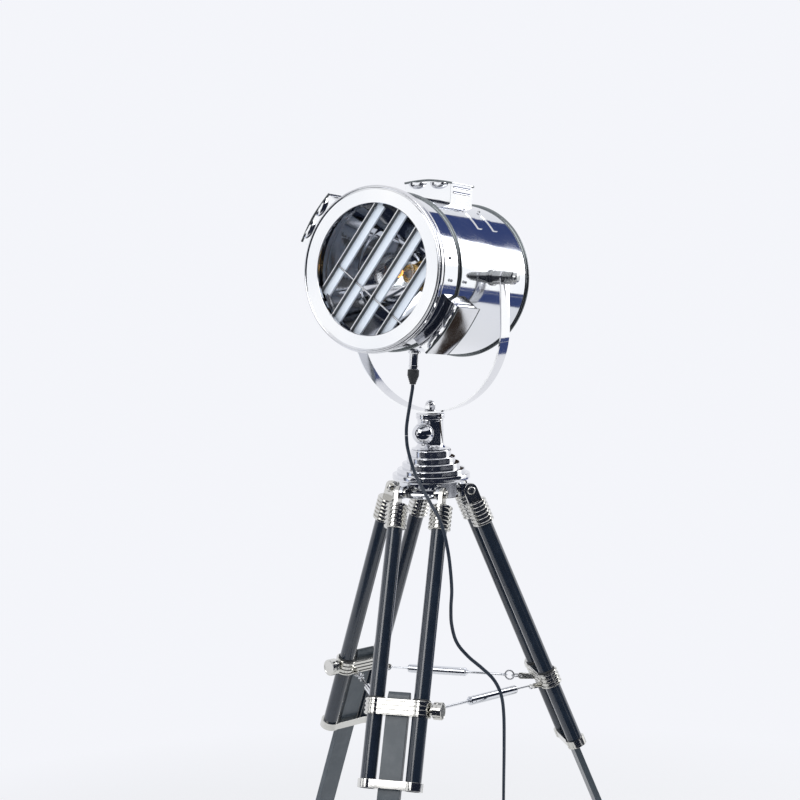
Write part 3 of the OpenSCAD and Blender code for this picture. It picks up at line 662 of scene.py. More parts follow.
# bulb: clear glass over a wound filament on its stem
globe = {"seat": 60.2, "neck": 12.4, "radius": 29.6, "centre": 99.2, "wall": 0.7, "loop": 8, "coilR": 1.1,
         "wireAt": 98}
seat, neck, centre = globe["seat"], globe["neck"], globe["centre"]
skin = [(neck, seat), (neck, seat + 7), (neck + 0.1, seat + 9.5)]
skin += arc(0, centre, globe["radius"], -65, 88, 22) + [(0, centre + globe["radius"])]
hollow = []
for r, z in skin[::-1]:
    thinned = globe["wall"] * (z - centre) / globe["radius"] if z >= centre else 0
    hollow.append((max(r - globe["wall"], 0), z - thinned))
glassLine = skin + hollow[:-1] + [(neck - globe["wall"], seat), (neck, seat)]
bulb = turn("globe", glassLine, headFrame, 48, 60)
bulb.data.materials.append(glass)
stemLine = [(0, seat + 1), (9, seat + 1), (9, seat + 3), (3.4, seat + 9), (2.4, 84), (3, 87), (0, 88)]
bulbStem = turn("stem", stemLine, headFrame, 24, 50)
bulbStem.data.materials.append(porcelain)
coiled = []
for k in range(-70, 71):
    r = globe["loop"] + globe["coilR"] * cos(k * 0.9)
    z = globe["wireAt"] + globe["coilR"] * sin(k * 0.9)
    coiled.append((r * cos(k * pi / 90), r * sin(k * pi / 90), z))
filament = join("filament", [wire("coilWire", coiled, 0.28, headFrame, sides=1),
                             wire("legA", [(2, 0, 85), coiled[0]], 0.35, headFrame, sides=1),
                             wire("legB", [(-2, 0, 85), coiled[-1]], 0.35, headFrame, sides=1)])
filament.data.materials.append(filamentWire)
bulb = join("bulbGlobe", [bulb, bulbStem, filament])
finishPiece(bulb, None, "head", "glass", "bulb")

# barrel: front band, bead, and rear can with a groove behind the bead
barrel = {"radius": 146, "wall": 1.5, "bandFrom": 117, "bandTo": 183, "bead": 113, "beadR": 4, "rear": -120}
wallOut, wallIn = barrel["radius"], barrel["radius"] - barrel["wall"]
frontBand = turn("frontBand", [(wallIn, barrel["bandFrom"]), (wallOut, barrel["bandFrom"]),
                               (wallOut, barrel["bandTo"]), (wallIn, barrel["bandTo"]),
                               (wallIn, barrel["bandFrom"])], headFrame, 128)
finishPiece(frontBand, sheetNickel, "head", "brushed_nickel", "front_band")
beadLine = arc(wallOut, barrel["bead"], barrel["beadR"], -100, 100, 16)
beadLine += [(wallIn, barrel["bead"] + 3.9), (wallIn, barrel["bead"] - 3.9)]
midBead = turn("midBead", beadLine + beadLine[:1], headFrame, 128)
# the bead takes the darkened nickel, which is painted shade
finishPiece(midBead, shadedBeadNickel, "head", "polished_nickel", "mid_bead")
canFront = barrel["bead"] - barrel["beadR"]
rearCan = turn("rearCan", [(wallIn, barrel["rear"]), (wallOut, barrel["rear"]), (wallOut, canFront - 3),
                           (wallOut - 0.4, canFront - 2.4), (wallOut - 0.4, canFront - 1.6),
                           (wallOut, canFront - 1), (wallOut, canFront), (wallIn, canFront),
                           (wallIn, barrel["rear"])], headFrame, 128)
holeLine = [(0, 140), (5, 140), (5, 150), (0, 150)]      # where the cord comes out
cut(rearCan, turn("hole", holeLine, onDrum(180, gland["along"]) @ spinX(-90), 24))
smooth(rearCan)
finishPiece(rearCan, sheetNickel, "head", "brushed_nickel", "rear_can")

# back cover: a low dome with two pressed rings and a rolled bead
cover = {"edge": 142, "bead": -124, "beadR": 4, "deep": 22, "sheet": 1.4, "rings": [(118, 4), (60, 4)],
         "ringDeep": 1.0}


def coverHeight(r):
    press = sum(cover["ringDeep"] * max(0, 1 - ((r - at) / half) ** 2) for at, half in cover["rings"])
    return cover["bead"] - cover["beadR"] - cover["deep"] * (1 - (r / cover["edge"]) ** 2) + press


domeRadii = {cover["edge"] * k / 14 for k in range(15)}
for at, half in cover["rings"]:
    domeRadii.update(at + half * n / 3 for n in range(-3, 4))
outside = [(r, coverHeight(r)) for r in sorted(domeRadii)]
inside = [(r * 0.985, z + cover["sheet"]) for r, z in outside[::-1]]
rimLine = arc(wallOut, cover["bead"], cover["beadR"], -170, 100, 18)
rimLine += [(144.6, cover["bead"] + 3), (144.6, cover["bead"] - 2)]
coverRim = turn("coverRim", rimLine + rimLine[:1], headFrame, 128)
# the rolled rim takes the darkened nickel, which is painted shade
coverRim.data.materials.append(shadedBeadNickel)
coverDome = turn("coverDome", outside + [(143.2, outside[-1][1] + cover["sheet"])] + inside, headFrame, 128)
coverDome.data.materials.append(nickel)
backCover = join("backCover", [coverDome, coverRim])
finishPiece(backCover, None, "head", "polished_nickel", "back_cover")
print("head shells made")

# vent boxes: folded sheet with a pitched roof, louvred ends and feet bent to the barrel
vents = {"half": 52, "wall": 177, "rise": 5.5, "sheet": 1.5, "barrel": 146.15, "slots": [156, 166],
         "names": ["vent_top", "vent_right", "vent_left"], "angles": [0, 127, -57],
         "fronts": [16, 154, 170], "depths": [76, 70, 70], "rearTabs": [4, 4, 19], "frontTab": 18,
         "tabLong": 14, "tabWide": 16, "tabThick": 1.4, "hemR": 2.1, "bows": 25, "screwAt": 31}


def ventBox(k):
    depth, front, half, sheet = vents["depths"][k], vents["fronts"][k], vents["half"], vents["sheet"]
    wall, rise = vents["wall"], vents["rise"]
    arch = [(half * x / 10, wall + rise * (1 - (abs(x) / 10) ** 1.6)) for x in range(-10, 11)]
    foot = arc(0, 0, vents["barrel"], 90 - 20.84, 90 + 20.84, 24)
    box = plate("box", arch + foot, depth, None, 0)
    hollow = [(sheet - half, 120), (half - sheet, 120), (half - sheet, wall - sheet), (0, wall),
              (sheet - half, wall - sheet)]
    cut(box, plate("hollow", hollow, depth - 2 * sheet, shift(0, 0, sheet), 0))
    for r in vents["slots"]:
        cut(box, block("slot", (2 * half + 8, 2.2, depth - 18), (0, r + 2, depth / 2)))
    if abs(barrel["bead"] - front + depth / 2) < depth / 2:      # this box sits over the barrel's bead
        saddle = [(0, 0), (150.3, 0), (150.3, 10), (0, 10)]
        cut(box, turn("saddle", saddle, shift(0, 0, barrel["bead"] - 5 - front + depth), 96))
    roundEdges(box, 0.3, 1, 50)
    smooth(box)
    wide = [(x * (half + 2) / half, y + 0.35) for x, y in arch]
    roofLine = wide + [(x, y - sheet) for x, y in wide[::-1]]
    roof = plate("roofSheet", roofLine, depth + 3, shift(0, 0, -1.5), 0.3)
    hems = []
    for end in (-0.2, depth + 0.2):
        hems.append(wire("roofHem", [(x, y - 1.4, end) for x, y in wide], vents["hemR"], sides=4))
        # the roof hems take the darkened nickel, which is painted shade
        hems[-1].data.materials.append(shadedBeadNickel)
    return [box, roof] + hems


# a shallow pressed bow in the front, cut off above the roof
def ventBow(side, depth):
    bow = turn("bow", [(0, 3), (8, 2.7), (15, 1.8), (20, 0.6), (21.5, -0.4), (0, -0.4)], None, 40, 60)
    place(bow, shift(side * vents["bows"], 176, depth) @ Matrix.Diagonal((1, 0.55, 1, 1)))
    return smooth(cut(bow, block("above", (60, 20, 20), (side * vents["bows"], 187.6, depth))), 60)


def ventHood(side, r, depth):
    outline = [(-0.4, r + 2.4), (1.5, r + 2.2), (1.3, r + 3.2), (-0.4, r + 6)]
    if side > 0:
        return plate("hood", outline, depth - 18, shift(vents["half"], 0, 9), 0.2, 1)
    return plate("hood", outline, depth - 18, spinY(180) @ shift(vents["half"], 0, 9 - depth), 0.2, 1)


# a fastening tab: a short strip spun round the barrel
def ventTab(start, low):
    near, far = start * mm, (start + vents["tabLong"]) * mm
    inside, outside = vents["barrel"] * mm, (vents["barrel"] + vents["tabThick"]) * mm
    corners = [(inside, 0, near), (outside, 0, near), (outside, 0, far), (inside, 0, far)]
    tab = startAtPoint("tab", corners[0])
    drawLine(corners + corners[:1])
    bpy.ops.mesh.select_all(action="SELECT")
    bpy.ops.mesh.remove_doubles(threshold=2e-6)
    bpy.ops.mesh.select_all(action="SELECT")
    bpy.ops.mesh.edge_face_add()
    bpy.ops.mesh.spin(steps=6, angle=radians(vents["tabWide"]), center=(0, 0, 0), axis=(0, 0, 1))
    closeUp()
    bpy.ops.object.mode_set(mode="OBJECT")
    return place(smooth(tab), spinZ(low))


def makeVent(k):
    depth = vents["depths"][k]
    parts = ventBox(k) + [ventBow(side, depth) for side in (-1, 1)]
    for side in (-1, 1):
        parts += [ventHood(side, r, depth) for r in vents["slots"]]
        parts += [ventTab(start, 54 if side > 0 else 110)
                  for start in (vents["rearTabs"][k], depth - vents["frontTab"])]
    for part in parts:
        if not part.data.materials:
            part.data.materials.append(nickel)
    vent = join("vent" + vents["names"][k][5:].capitalize(), parts)
    place(vent, onDrum(vents["angles"][k], vents["fronts"][k] - depth))
    return finishPiece(vent, None, "head", "polished_nickel", vents["names"][k])


for k in range(3):
    makeVent(k)
ventSpots = []
for k in range(3):
    back, depth = vents["fronts"][k] - vents["depths"][k], vents["depths"][k]
    for side in (-1, 1):
        for start in (vents["rearTabs"][k], depth - vents["frontTab"]):
            middle = back + start + vents["tabLong"] / 2
            ventSpots.append(onDrum(vents["angles"][k] + side * vents["screwAt"], middle)
                             @ shift(0, 147.7, 0) @ spinX(-90))
ventScrews = scatter("ventScrews", makeScrew("ventScrew", 3, 2.3), ventSpots)
finishPiece(ventScrews, screwSteel, "head", "screw", "vent_screws")

# the bezel's screws go through the front band
bandScrews = scatter("bandScrews", makeScrew("bandScrew", 3, 2.5), [
    onDrum(angle, bezel["screwsAt"]) @ shift(0, 146.05, 0) @ spinX(-90) for angle in bezel["screwAngles"]])
finishPiece(bandScrews, screwSteel, "head", "screw", "bezel_screws")

# gland tube, and the tapered sleeve that eases the cord out
downTube = onDrum(180, gland["along"]) @ spinX(-90)
foot, r, end = gland["foot"], gland["tubeR"], gland["tubeEnd"]
glandLine = [(3.6, foot), (12, foot), (12, 148.3), (11.4, 149), (r + 0.6, 149.2), (r, 150), (r, end - 8),
             (r + 0.6, end - 7.4), (r + 0.6, end - 5.6), (r, end - 5), (r, end - 1), (8.4, end), (3.6, end),
             (3.6, foot)]
cableGland = turn("cableGland", glandLine, downTube, 40)
finishPiece(cableGland, nickel, "head", "polished_nickel", "cable_gland")
sleeveOutline = [(3.5, end + 0.1), (10.6, end + 0.1), (11, end + 0.6), (11, end + 12)]
for k in range(4):      # four grooves, each narrower than the last
    z, r = end + 13 + 3.6 * k, 10.6 - 1.25 * k
    sleeveOutline += [(r, z), (r - 0.9, z + 0.5), (r - 0.9, z + 1.5), (r - 0.5, z + 2.0)]
sleeveOutline += [(5.9, gland["end"] - 0.6), (5.4, gland["end"]), (3.5, gland["end"]), (3.5, end + 0.1)]
sleeve = turn("cableSleeve", sleeveOutline, downTube, 40)
finishPiece(sleeve, rubber, "head", "rubber", "cable_sleeve")

# pivots: collar, bolt and a ringed nut on each side
pivots = {"bore": 5.1, "collarR": 16, "collarFrom": 146.1, "collarTo": 169.7, "boltR": 5, "nutR": 13,
          "nutFrom": 173, "nutRings": 5, "ringGap": 3.4}
sides = [yokeFrame @ spinY(90), yokeFrame @ spinY(-90)]
bore, r, low, high = pivots["bore"], pivots["collarR"], pivots["collarFrom"], pivots["collarTo"]
collarLine = [(bore, low), (r, low), (r, low + 3.5), (r - 1, 151), (r - 2.4, 151.2), (r - 3, 152),
              (r - 3, 168), (12.2, high), (bore, high), (bore, low)]
collars = scatter("pivotCollars", turn("collar", collarLine, None, 48), sides)
# the collars take the darkened nickel, which is painted shade
finishPiece(collars, shadedSatinNickel, "head", "polished_nickel", "pivot_collars")
r = pivots["boltR"]
boltLine = [(0, 146.2), (r, 146.2), (r, 188), (r - 1, 189), (0, 189)]
bolts = scatter("pivotBolts", turn("bolt", boltLine, None, 24), sides)
finishPiece(bolts, screwSteel, "head", "screw", "pivot_bolts")
r, low = pivots["nutR"], pivots["nutFrom"]
nutOutline = [(bore, low), (r - 0.4, low), (r, low + 0.5), (r, low + 3)]
for k in range(pivots["nutRings"]):
    z = low + 3.6 + pivots["ringGap"] * k
    nutOutline += [(r - 1.6, z), (r - 1.6, z + 0.9), (r - 0.1, z + 1.5), (r - 0.1, z + 2.5)]
nutOutline += [(11.6, 193.6), (9.4, 194.2), (9.2, 198), (8.2, 200.2), (6, 201), (0, 201), (0, 189.4),
               (bore, 189.4), (bore, low)]
nuts = scatter("pivotNuts", turn("nut", nutOutline, None, 40), sides)
# the nuts take the darkened nickel, which is painted shade
finishPiece(nuts, shadedSatinNickel, "yoke_body", "polished_nickel", "pivot_nuts")

# yoke: one bent strap with round ends
yoke = {"in": 170, "thick": 3, "wide": 30, "drop": 89, "studHole": 6.1}
near, far, drop, wide = yoke["in"], yoke["in"] + yoke["thick"], yoke["drop"], yoke["wide"]
strapLine = [(far, 0)] + arc(0, -drop, far, 0, -180, 64)
strapLine += [(-far, 0), (-near, 0)] + arc(0, -drop, near, -180, 0, 64) + [(near, 0)]
strap = plate("yokeStrap", strapLine, wide, shift(0, wide / 2, 0) @ spinX(90), 0)
for side in (1, -1):
    endDisc = turn("endDisc", [(0, near), (wide / 2, near), (wide / 2, far), (0, far)], spinY(90 * side), 48)
    cut(strap, endDisc, operation="UNION")
studHole = [(0, 0), (yoke["studHole"], 0), (yoke["studHole"], 20), (0, 20)]
boltHole = [(0, -190), (pivots["bore"], -190), (pivots["bore"], 190), (0, 190)]
cut(strap, turn("studHole", studHole, shift(0, 0, -drop - far - 8), 24),
    turn("boltHole", boltHole, spinY(90), 24))
roundEdges(strap, 0.7, 2, 40)
smooth(strap, 30)
place(strap, yokeFrame)
finishPiece(strap, nickel, "yoke_body", "polished_nickel", "yoke")

# acorn nut and washer on the yoke's bend, and the stud through them
acorn = {"base": 124.4, "hexR": 11.5, "hexH": 9, "ball": 9.3, "washerFrom": 122.4, "washerR": 11,
         "studFrom": 75, "studTo": 136, "studR": 5.9}
base, ball = acorn["base"], acorn["ball"]
hexNut = plate("hexNut", arc(0, 0, acorn["hexR"], 0, 300, 5), acorn["hexH"], shift(0, 0, base), 0.6)
crownLine = [(0, base + 8), (9.9, base + 8)] + arc(0, base + 9, ball, 0, 88, 12) + [(0, base + 9 + ball)]
acornNut = join("acornNut", [hexNut, turn("crown", crownLine, None, 40)])
place(acornNut, hubFrame @ spinZ(-34))
finishPiece(acornNut, nickel, "yoke_body", "polished_nickel", "acorn_nut")
low, r = acorn["washerFrom"], acorn["washerR"]
washerLine = [(6.1, low), (r, low), (r, low + 1.6), (r - 0.4, low + 1.9), (6.1, low + 1.9), (6.1, low)]
washer = turn("studWasher", washerLine, hubFrame, 40)
finishPiece(washer, nickel, "yoke_body", "polished_nickel", "stud_washer")
low, high, r = acorn["studFrom"], acorn["studTo"], acorn["studR"]
stud = turn("panStud", [(0, low), (r, low), (r, high - 1), (r - 0.9, high), (0, high)], hubFrame, 24)
finishPiece(stud, screwSteel, "base", "screw", "pan_stud")
print("yoke made")

# hub: post, stepped dome and wide flange, all turned
hub = {"postR": 25, "collarR": 28, "postTop": 118.3, "postFoot": 37, "cove": 12, "flangeR": 75,
       "flangeTop": 2, "flangeLow": -10, "steps": [(66, 12), (56, 23.5), (47, 35), (39, 48.6)]}
r, wide, foot, top, low = hub["postR"], hub["collarR"], hub["postFoot"], hub["postTop"], hub["steps"][-1][1]
postLine = [(0, low), (foot, low), (foot, low + 1.5)]
postLine += arc(r + hub["cove"], low + 1.5 + hub["cove"], hub["cove"], 270, 180, 10)
postLine += [(r, 103), (r + 0.5, 104), (r + 0.5, 105.5), (r, 106.3), (r, 107), (wide - 0.8, 107.6),
             (wide, 108.5), (wide, 111), (wide - 1.2, 111.8), (wide - 1.2, 112.6), (wide, 113.4), (wide, 116),
             (wide - 0.8, 117.4), (wide - 2, top - 0.2), (6.2, top), (0, top)]
post = turn("hubPost", postLine, hubFrame, 72)
finishPiece(post, nickel, "base", "polished_nickel", "post")
low = hub["flangeTop"]
stepLine = [(0, low)]
for r, top in hub["steps"]:
    stepLine += [(r, low), (r, top - 3.4)] + arc(r - 3, top - 3.2, 3, 0, 88, 6)
    low = top
steppedDome = turn("steppedDome", stepLine + [(0, low)], hubFrame, 96)
finishPiece(steppedDome, nickel, "base", "polished_nickel", "stepped_dome")
r, top, low = hub["flangeR"], hub["flangeTop"], hub["flangeLow"]
flangeLine = [(0, low), (r - 3, low), (r - 0.8, low + 0.6), (r, low + 2), (r, low + 4.8),
              (r - 0.7, low + 5.4), (r - 0.7, low + 6.2), (r, low + 6.8), (r, top - 2), (r - 0.8, top - 0.5),
              (r - 2.4, top), (0, top)]
flange = turn("hubFlange", flangeLine, hubFrame, 96)
finishPiece(flange, nickel, "base", "polished_nickel", "hub_flange")

# leg drum with three pairs of ears, and the hinge bolts through them
drum = {"radius": 64, "top": -10.1, "bottom": -41, "earFoot": 30, "earTop": -17.1, "earIn": 33, "earT": 6.7,
        "earR": 12, "hinge": 67, "drop": 29, "bore": 8.6}
r, top, bottom, hinge = drum["radius"], drum["top"], drum["bottom"], drum["hinge"]
legDrum = turn("legDrum", [(0, bottom), (r - 1.4, bottom), (r, bottom + 1.4), (r, top - 1), (r - 0.8, top),
                           (0, top)], None, 96)
earLine = [(drum["earFoot"], bottom + 0.1), (hinge, bottom + 0.1)]
earLine += arc(hinge, -drum["drop"], drum["earR"] - 0.1, -80, 80, 12)
earLine += [(hinge, drum["earTop"]), (drum["earFoot"], drum["earTop"])]
ear = plate("ear", earLine, drum["earT"], spinX(90), 0.5)
bore, deep = drum["bore"], drum["earIn"]
boreLine = [(0, -deep), (bore, -deep), (bore, deep), (0, deep)]
ears, bores = [], []
for name in legNames:
    way = Vector(joints["leg_fold_" + name]["pos_m"])
    azimuth = Matrix.Rotation(-Vector((1, 0)).angle_signed(Vector((way.x, way.y))), 4, "Z")
    for inner in (drum["earIn"] + drum["earT"], -drum["earIn"]):
        ears.append(copyOf(ear, azimuth @ shift(0, inner, 0)))
    bores.append(turn("bore", boreLine, azimuth @ shift(hinge, 0, -drum["drop"]) @ spinX(90), 32))
bpy.data.objects.remove(ear)
cut(legDrum, *bores)
smooth(legDrum)
legDrum = join("legDrum", [legDrum] + ears)
place(legDrum, hubFrame)
finishPiece(legDrum, sheetNickel, "base", "brushed_nickel", "leg_drum")

boltHead = [(0, 28), (7.2, 28), (8, 28.8), (8, 32.6), (7.4, 33), (5, 33), (5, 48.3), (8, 48.3), (8, 51.6),
            (7, 53), (5.4, 53.9), (2.6, 53.9), (2.6, 52.6), (0, 52.6)]
hingeBolts = scatter("hingeBolts", turn("hingeBolt", boltHead, None, 32),
                     [legFrame(name) @ spinX(side) for name in legNames for side in (90, -90)])
finishPiece(hingeBolts, castNickel, "base", "polished_nickel", "hinge_bolts")

# pan lock knob: a polished ball on a stepped neck
knob = {"ball": 21, "faceR": 20.6, "faceAt": 48.6, "faceDeep": 19.3}
knobAxis = Vector(knobJoint["axis"]).normalized()
across = upward.cross(knobAxis)
knobFrame = axes(across.cross(knobAxis), across, knobAxis, (0, 0, knobJoint["pos_m"][2]))
r = knob["ball"]
knobLine = [(0, 8), (4, 8), (4, 25.6), (8.4, 25.6), (9, 26.4), (9, 33), (10, 34.2), (14.5, 35.4), (18, 38),
            (20.2, 41.4), (r, 44.6), (r, 47.2), (r - 0.7, 47.9), (r - 0.7, 48.7)]
for angle in range(6, 90, 7):
    z = knob["faceAt"] + knob["faceDeep"] * sin(radians(angle))
    knobLine.append((knob["faceR"] * cos(radians(angle)), z))
knobLine.append((0, knob["faceAt"] + knob["faceDeep"]))
panKnob = turn("panKnob", knobLine, knobFrame, 64)
finishPiece(panKnob, nickel, "pan_knob_body", "polished_nickel", "pan_knob")
print("hub made")

# one leg is modelled in its own frame, down z from the fold bolt, and copied three times
leg = {"tubeY": 44, "tubeR": 14.9, "tubeIn": 13.5, "tubeTop": -26.1, "tubeEnd": -558, "clampAt": -408,
       "clampH": 30, "endH": 16, "holeR": 15, "blockR": 19, "blockX": 17, "ribs": 4, "ribOut": 1.9,
       "slatW": 43, "slatT": 12, "slatTop": -378, "lean": 22}
legLength = joints["leg_fold_front"]["pos_m"][2] / mm / cos(radians(leg["lean"]))
sole = -legLength

ferrule = {"foot": -70, "ribs": 6, "ribGap": 8, "inR": 15.1, "outR": 18.4, "ribR": 21.4, "tongueR": 13.4}
low, inR, outR, ribR = ferrule["foot"], ferrule["inR"], ferrule["outR"], ferrule["ribR"]
ferruleLine = [(inR, low), (outR - 1.2, low), (outR, low + 1)]
for k in range(ferrule["ribs"]):
    z = low + 1 + ferrule["ribGap"] * k
    ferruleLine += [(outR, z), (ribR - 0.7, z), (ribR, z + 0.8), (ribR, z + 4.2), (ribR - 0.7, z + 5),
                    (outR, z + 5)]
ferruleLine += [(outR, -22.6), (outR - 0.8, -22), (0, -22), (0, -26), (inR, -26), (inR, low)]
tongueR = ferrule["tongueR"]
ferruleParts = []
for side in (1, -1):
    ferruleParts.append(turn("ferrule", ferruleLine, shift(0, side * leg["tubeY"], 0), 48))
    tongue = plate("tongue", [(-tongueR, -24), (tongueR, -24)] + arc(0, 0, tongueR, 0, 180, 20), 8,
                   shift(0, side * leg["tubeY"] + 4, 0) @ spinX(90), 0)
    cut(tongue, turn("eye", [(0, -60), (5.1, -60), (5.1, 60), (0, 60)], spinX(90), 24))
    roundEdges(tongue, 0.7, 2, 40)
    ferruleParts.append(smooth(tongue))
ferrules = join("ferrules", ferruleParts)

r, inR, low, top = leg["tubeR"], leg["tubeIn"], leg["tubeEnd"], leg["tubeTop"]
tubeLine = [(inR, low), (r - 0.4, low), (r, low + 0.5), (r, top), (inR, top), (inR, low)]
capLine = [(0, low + 1), (inR - 0.9, low + 1), (inR - 0.1, low + 2), (inR - 0.1, low + 8), (0, low + 8)]
tubeParts = [turn("tube", tubeLine, shift(0, side * leg["tubeY"], 0), 48) for side in (1, -1)]
tubeParts += [turn("tubeCap", capLine, shift(0, side * leg["tubeY"], 0), 32) for side in (1, -1)]
tubes = join("tubes", tubeParts)


# the clamp's outline is a block between two rounds, grown by its ribs
def clampBody(grow, thickness, low):
    r, edge = leg["blockR"] + grow, leg["blockX"] + grow
    start = -asin(sqrt(r * r - edge * edge) / r) * 180 / pi
    halfLine = arc(0, leg["tubeY"], r, start, 180 - start, 28)
    return plate("clampBody", halfLine + [(-x, -y) for x, y in halfLine], thickness, shift(0, 0, low), 0.6)


# makes the holes that the tubes and the slat run through
def punch(piece, top, bottom):
    holeLine = [(0, bottom), (leg["holeR"], bottom), (leg["holeR"], top), (0, top)]
    for side in (1, -1):
        cut(piece, turn("tubeHole", holeLine, shift(0, side * leg["tubeY"], 0), 48))
    slatHole = (leg["slatT"] + 0.6, leg["slatW"] + 0.6, top - bottom)
    return cut(piece, block("slatHole", slatHole, (0, 0, (top + bottom) / 2)))


clampLow = leg["clampAt"] - leg["clampH"] / 2
clampParts = [punch(clampBody(0, leg["clampH"], clampLow), clampLow + 60, clampLow - 30)]
for k in range(leg["ribs"]):
    rib = clampBody(leg["ribOut"], 3.2, clampLow + 1.4 + 8 * k)
    clampParts.append(punch(rib, clampLow + 60, clampLow - 30))
lowerGuide = clampBody(0, leg["endH"], leg["tubeEnd"])
clampParts.append(punch(lowerGuide, leg["tubeEnd"] + 30, leg["tubeEnd"] - 30))
for side in (1, -1):      # two pinch screws on the inner face
    clampParts.append(makeScrew("pinchScrew", 3.6, 2.6))
    place(clampParts[-1], shift(-leg["blockX"] - 1.8, -30, leg["clampAt"] + 7 * side) @ spinY(-90))
clampParts = [smooth(part) for part in clampParts]


# the brace's eye at a leg: the lug is on one side of the clamp, the catch plate with its peg on the other
def atEye(side):
    return shift(-38, side * 40, leg["clampAt"]) @ spinY(leg["lean"]) @ spinZ(side * 150)


lugLine = [(-26, -4.9), (0, -6.4)] + arc(0, 0, 6.4, -80, 80, 10) + [(0, 6.4), (-26, 4.9)]
lug = plate("lug", lugLine, 3.9, atEye(1) @ shift(0, 1.95, 0) @ spinX(90), 0)
cut(lug, turn("lugEye", [(0, -20), (2.6, -20), (2.6, 20), (0, 20)], atEye(1) @ spinX(90), 20))
roundEdges(lug, 0.5, 2, 40)
catchLine = [(-26, -4.9), (0, -4.9)] + arc(0, 0, 4.9, -80, 80, 8) + [(0, 4.9), (-26, 4.9)]
catchPlate = plate("catchPlate", catchLine, 4, atEye(-1) @ shift(0, 9, 0) @ spinX(90), 0.5)
peg = turn("peg", [(0, -6), (2, -6), (2, 3.4), (1.6, 4), (0, 4)], atEye(-1) @ spinX(90), 20)
clamp = join("clamp", clampParts + [smooth(lug), catchPlate, peg])

# dark bushes where the tubes enter the clamp
bushLine = [(15.05, 0), (16.6, 0), (17, 0.6), (17, 2.6), (16.2, 3.4), (15.05, 3.4), (15.05, 0)]
bushAt = leg["clampAt"] + leg["clampH"] / 2 - 0.4
clampBushes = join("clampBushes", [turn("bush", bushLine, shift(0, side * leg["tubeY"], bushAt), 40)
                                   for side in (1, -1)])

clampKnobLine = [(0, 15.6), (4, 15.6), (4, 21.3), (10, 21.3), (10, 25.2), (12.4, 25.4), (15.6, 26.2),
                 (16.5, 27.2), (16.5, 33.4), (15.9, 34), (15.9, 35.2), (16.5, 35.8), (16.5, 41.4),
                 (16.1, 42.6), (15, 43.2), (13.2, 43.2), (12.6, 42.7), (0, 42.7)]
clampKnob = turn("clampKnob", clampKnobLine, shift(0, leg["tubeY"], leg["clampAt"]) @ spinX(-90), 56)

half, top = leg["slatT"] / 2, leg["slatTop"]
slatLine = [(-half, sole + 16), (half, sole + 16), (half, top - 10), (2, top), (-2, top), (-half, top - 10)]
slideSlat = plate("slideSlat", slatLine, leg["slatW"], shift(0, leg["slatW"] / 2, 0) @ spinX(90), 0.9)

footLine = [(0, sole - 20), (24, sole - 20), (24, sole + 12), (22.6, sole + 13.4), (22.6, sole + 14.6),
            (24, sole + 16), (24, sole + 24), (22.8, sole + 28), (18.5, sole + 36), (16, sole + 40.6),
            (14.5, sole + 42), (0, sole + 42)]
foot = turn("foot", footLine, None, 56)
cut(foot, block("slatPocket", (leg["slatT"], leg["slatW"], 60), (0, 0, sole + 46)))
smooth(foot)

# the brace and its links, in the frame of its swing joint
brace = {"ring": 9, "wire": 1.6, "step": 14.5, "eye": 5, "rodR": 2.6, "sleeveR": 8.5, "sleeveLong": 122,
         "hook": 6, "endBack": 160}


def ringPoints(radius, step):
    return [(radius * cos(radians(t)), radius * sin(radians(t)), 0) for t in range(0, 360, step)]


ring, eye, rodR, sleeveR, hook = brace["ring"], brace["eye"], brace["rodR"], brace["sleeveR"], brace["hook"]
eyeOut = drum["hinge"] - leg["clampAt"] * sin(radians(leg["lean"])) - 38 * cos(radians(leg["lean"]))
braceLong = sqrt(3) * eyeOut - 40
sleeveAt = braceLong - hook - brace["endBack"]
sleeveEnd = sleeveAt + brace["sleeveLong"]
eyeAt = 2 * brace["step"] + eye
links = join("links", [
    wire("linkA", ringPoints(ring, 10), brace["wire"], shift(ring, 0, 0), True),
    wire("linkB", ringPoints(ring, 10), brace["wire"], shift(ring + brace["step"], 0, 0) @ spinX(90), True)])
braceLine = [(0, eyeAt + eye - 0.5), (rodR - 0.2, eyeAt + eye), (rodR, eyeAt + eye + 3),
             (rodR, sleeveAt - 4), (4.6, sleeveAt - 3.6), (4.6, sleeveAt), (sleeveR - 1.1, sleeveAt + 0.4),
             (sleeveR, sleeveAt + 1.6), (sleeveR, sleeveAt + 9), (sleeveR - 0.5, sleeveAt + 9.6),
             (sleeveR - 0.5, sleeveAt + 10.6), (sleeveR, sleeveAt + 11.2), (sleeveR, sleeveEnd - 2.4),
             (sleeveR - 0.9, sleeveEnd - 0.6), (3, sleeveEnd), (3, sleeveEnd + 4), (1.6, sleeveEnd + 4.6),
             (0, sleeveEnd + 4.6)]
braceBar = turn("braceBar", braceLine, spinY(90), 40)
hookPoints = [(sleeveEnd - 1, 0, 0), (braceLong - hook - 2, 0, 0), (braceLong - hook - 0.4, 0, -0.4)]
hookPoints += [(braceLong + x, 0, z) for x, z in arc(0, 0, hook, 190, 360, 14)] + [(braceLong + hook, 0, 2.4)]
braceRod = join("braceRod", [
    braceBar, wire("braceEye", ringPoints(eye, 15), brace["wire"], shift(eyeAt, 0, 0), True),
    wire("hook", hookPoints, brace["wire"])])

# every leg and brace takes its own copies
legPieces = [(ferrules, "ferrules", castNickel, "leg_", "polished_nickel"),
             (tubes, "tubes", blackTube, "leg_", "black_tube"),
             (clamp, "clamp", castNickel, "leg_", "polished_nickel"),
             (clampKnob, "knob", castNickel, "knob_", "polished_nickel"),
             (slideSlat, "slat", blackBar, "slide_", "black_bar"),
             (foot, "foot", rubber, "slide_", "rubber"),
             (clampBushes, "bushes", rubber, "leg_", "rubber")]
bracePieces = [(links, "links", screwSteel), (braceRod, "brace", sheetNickel)]


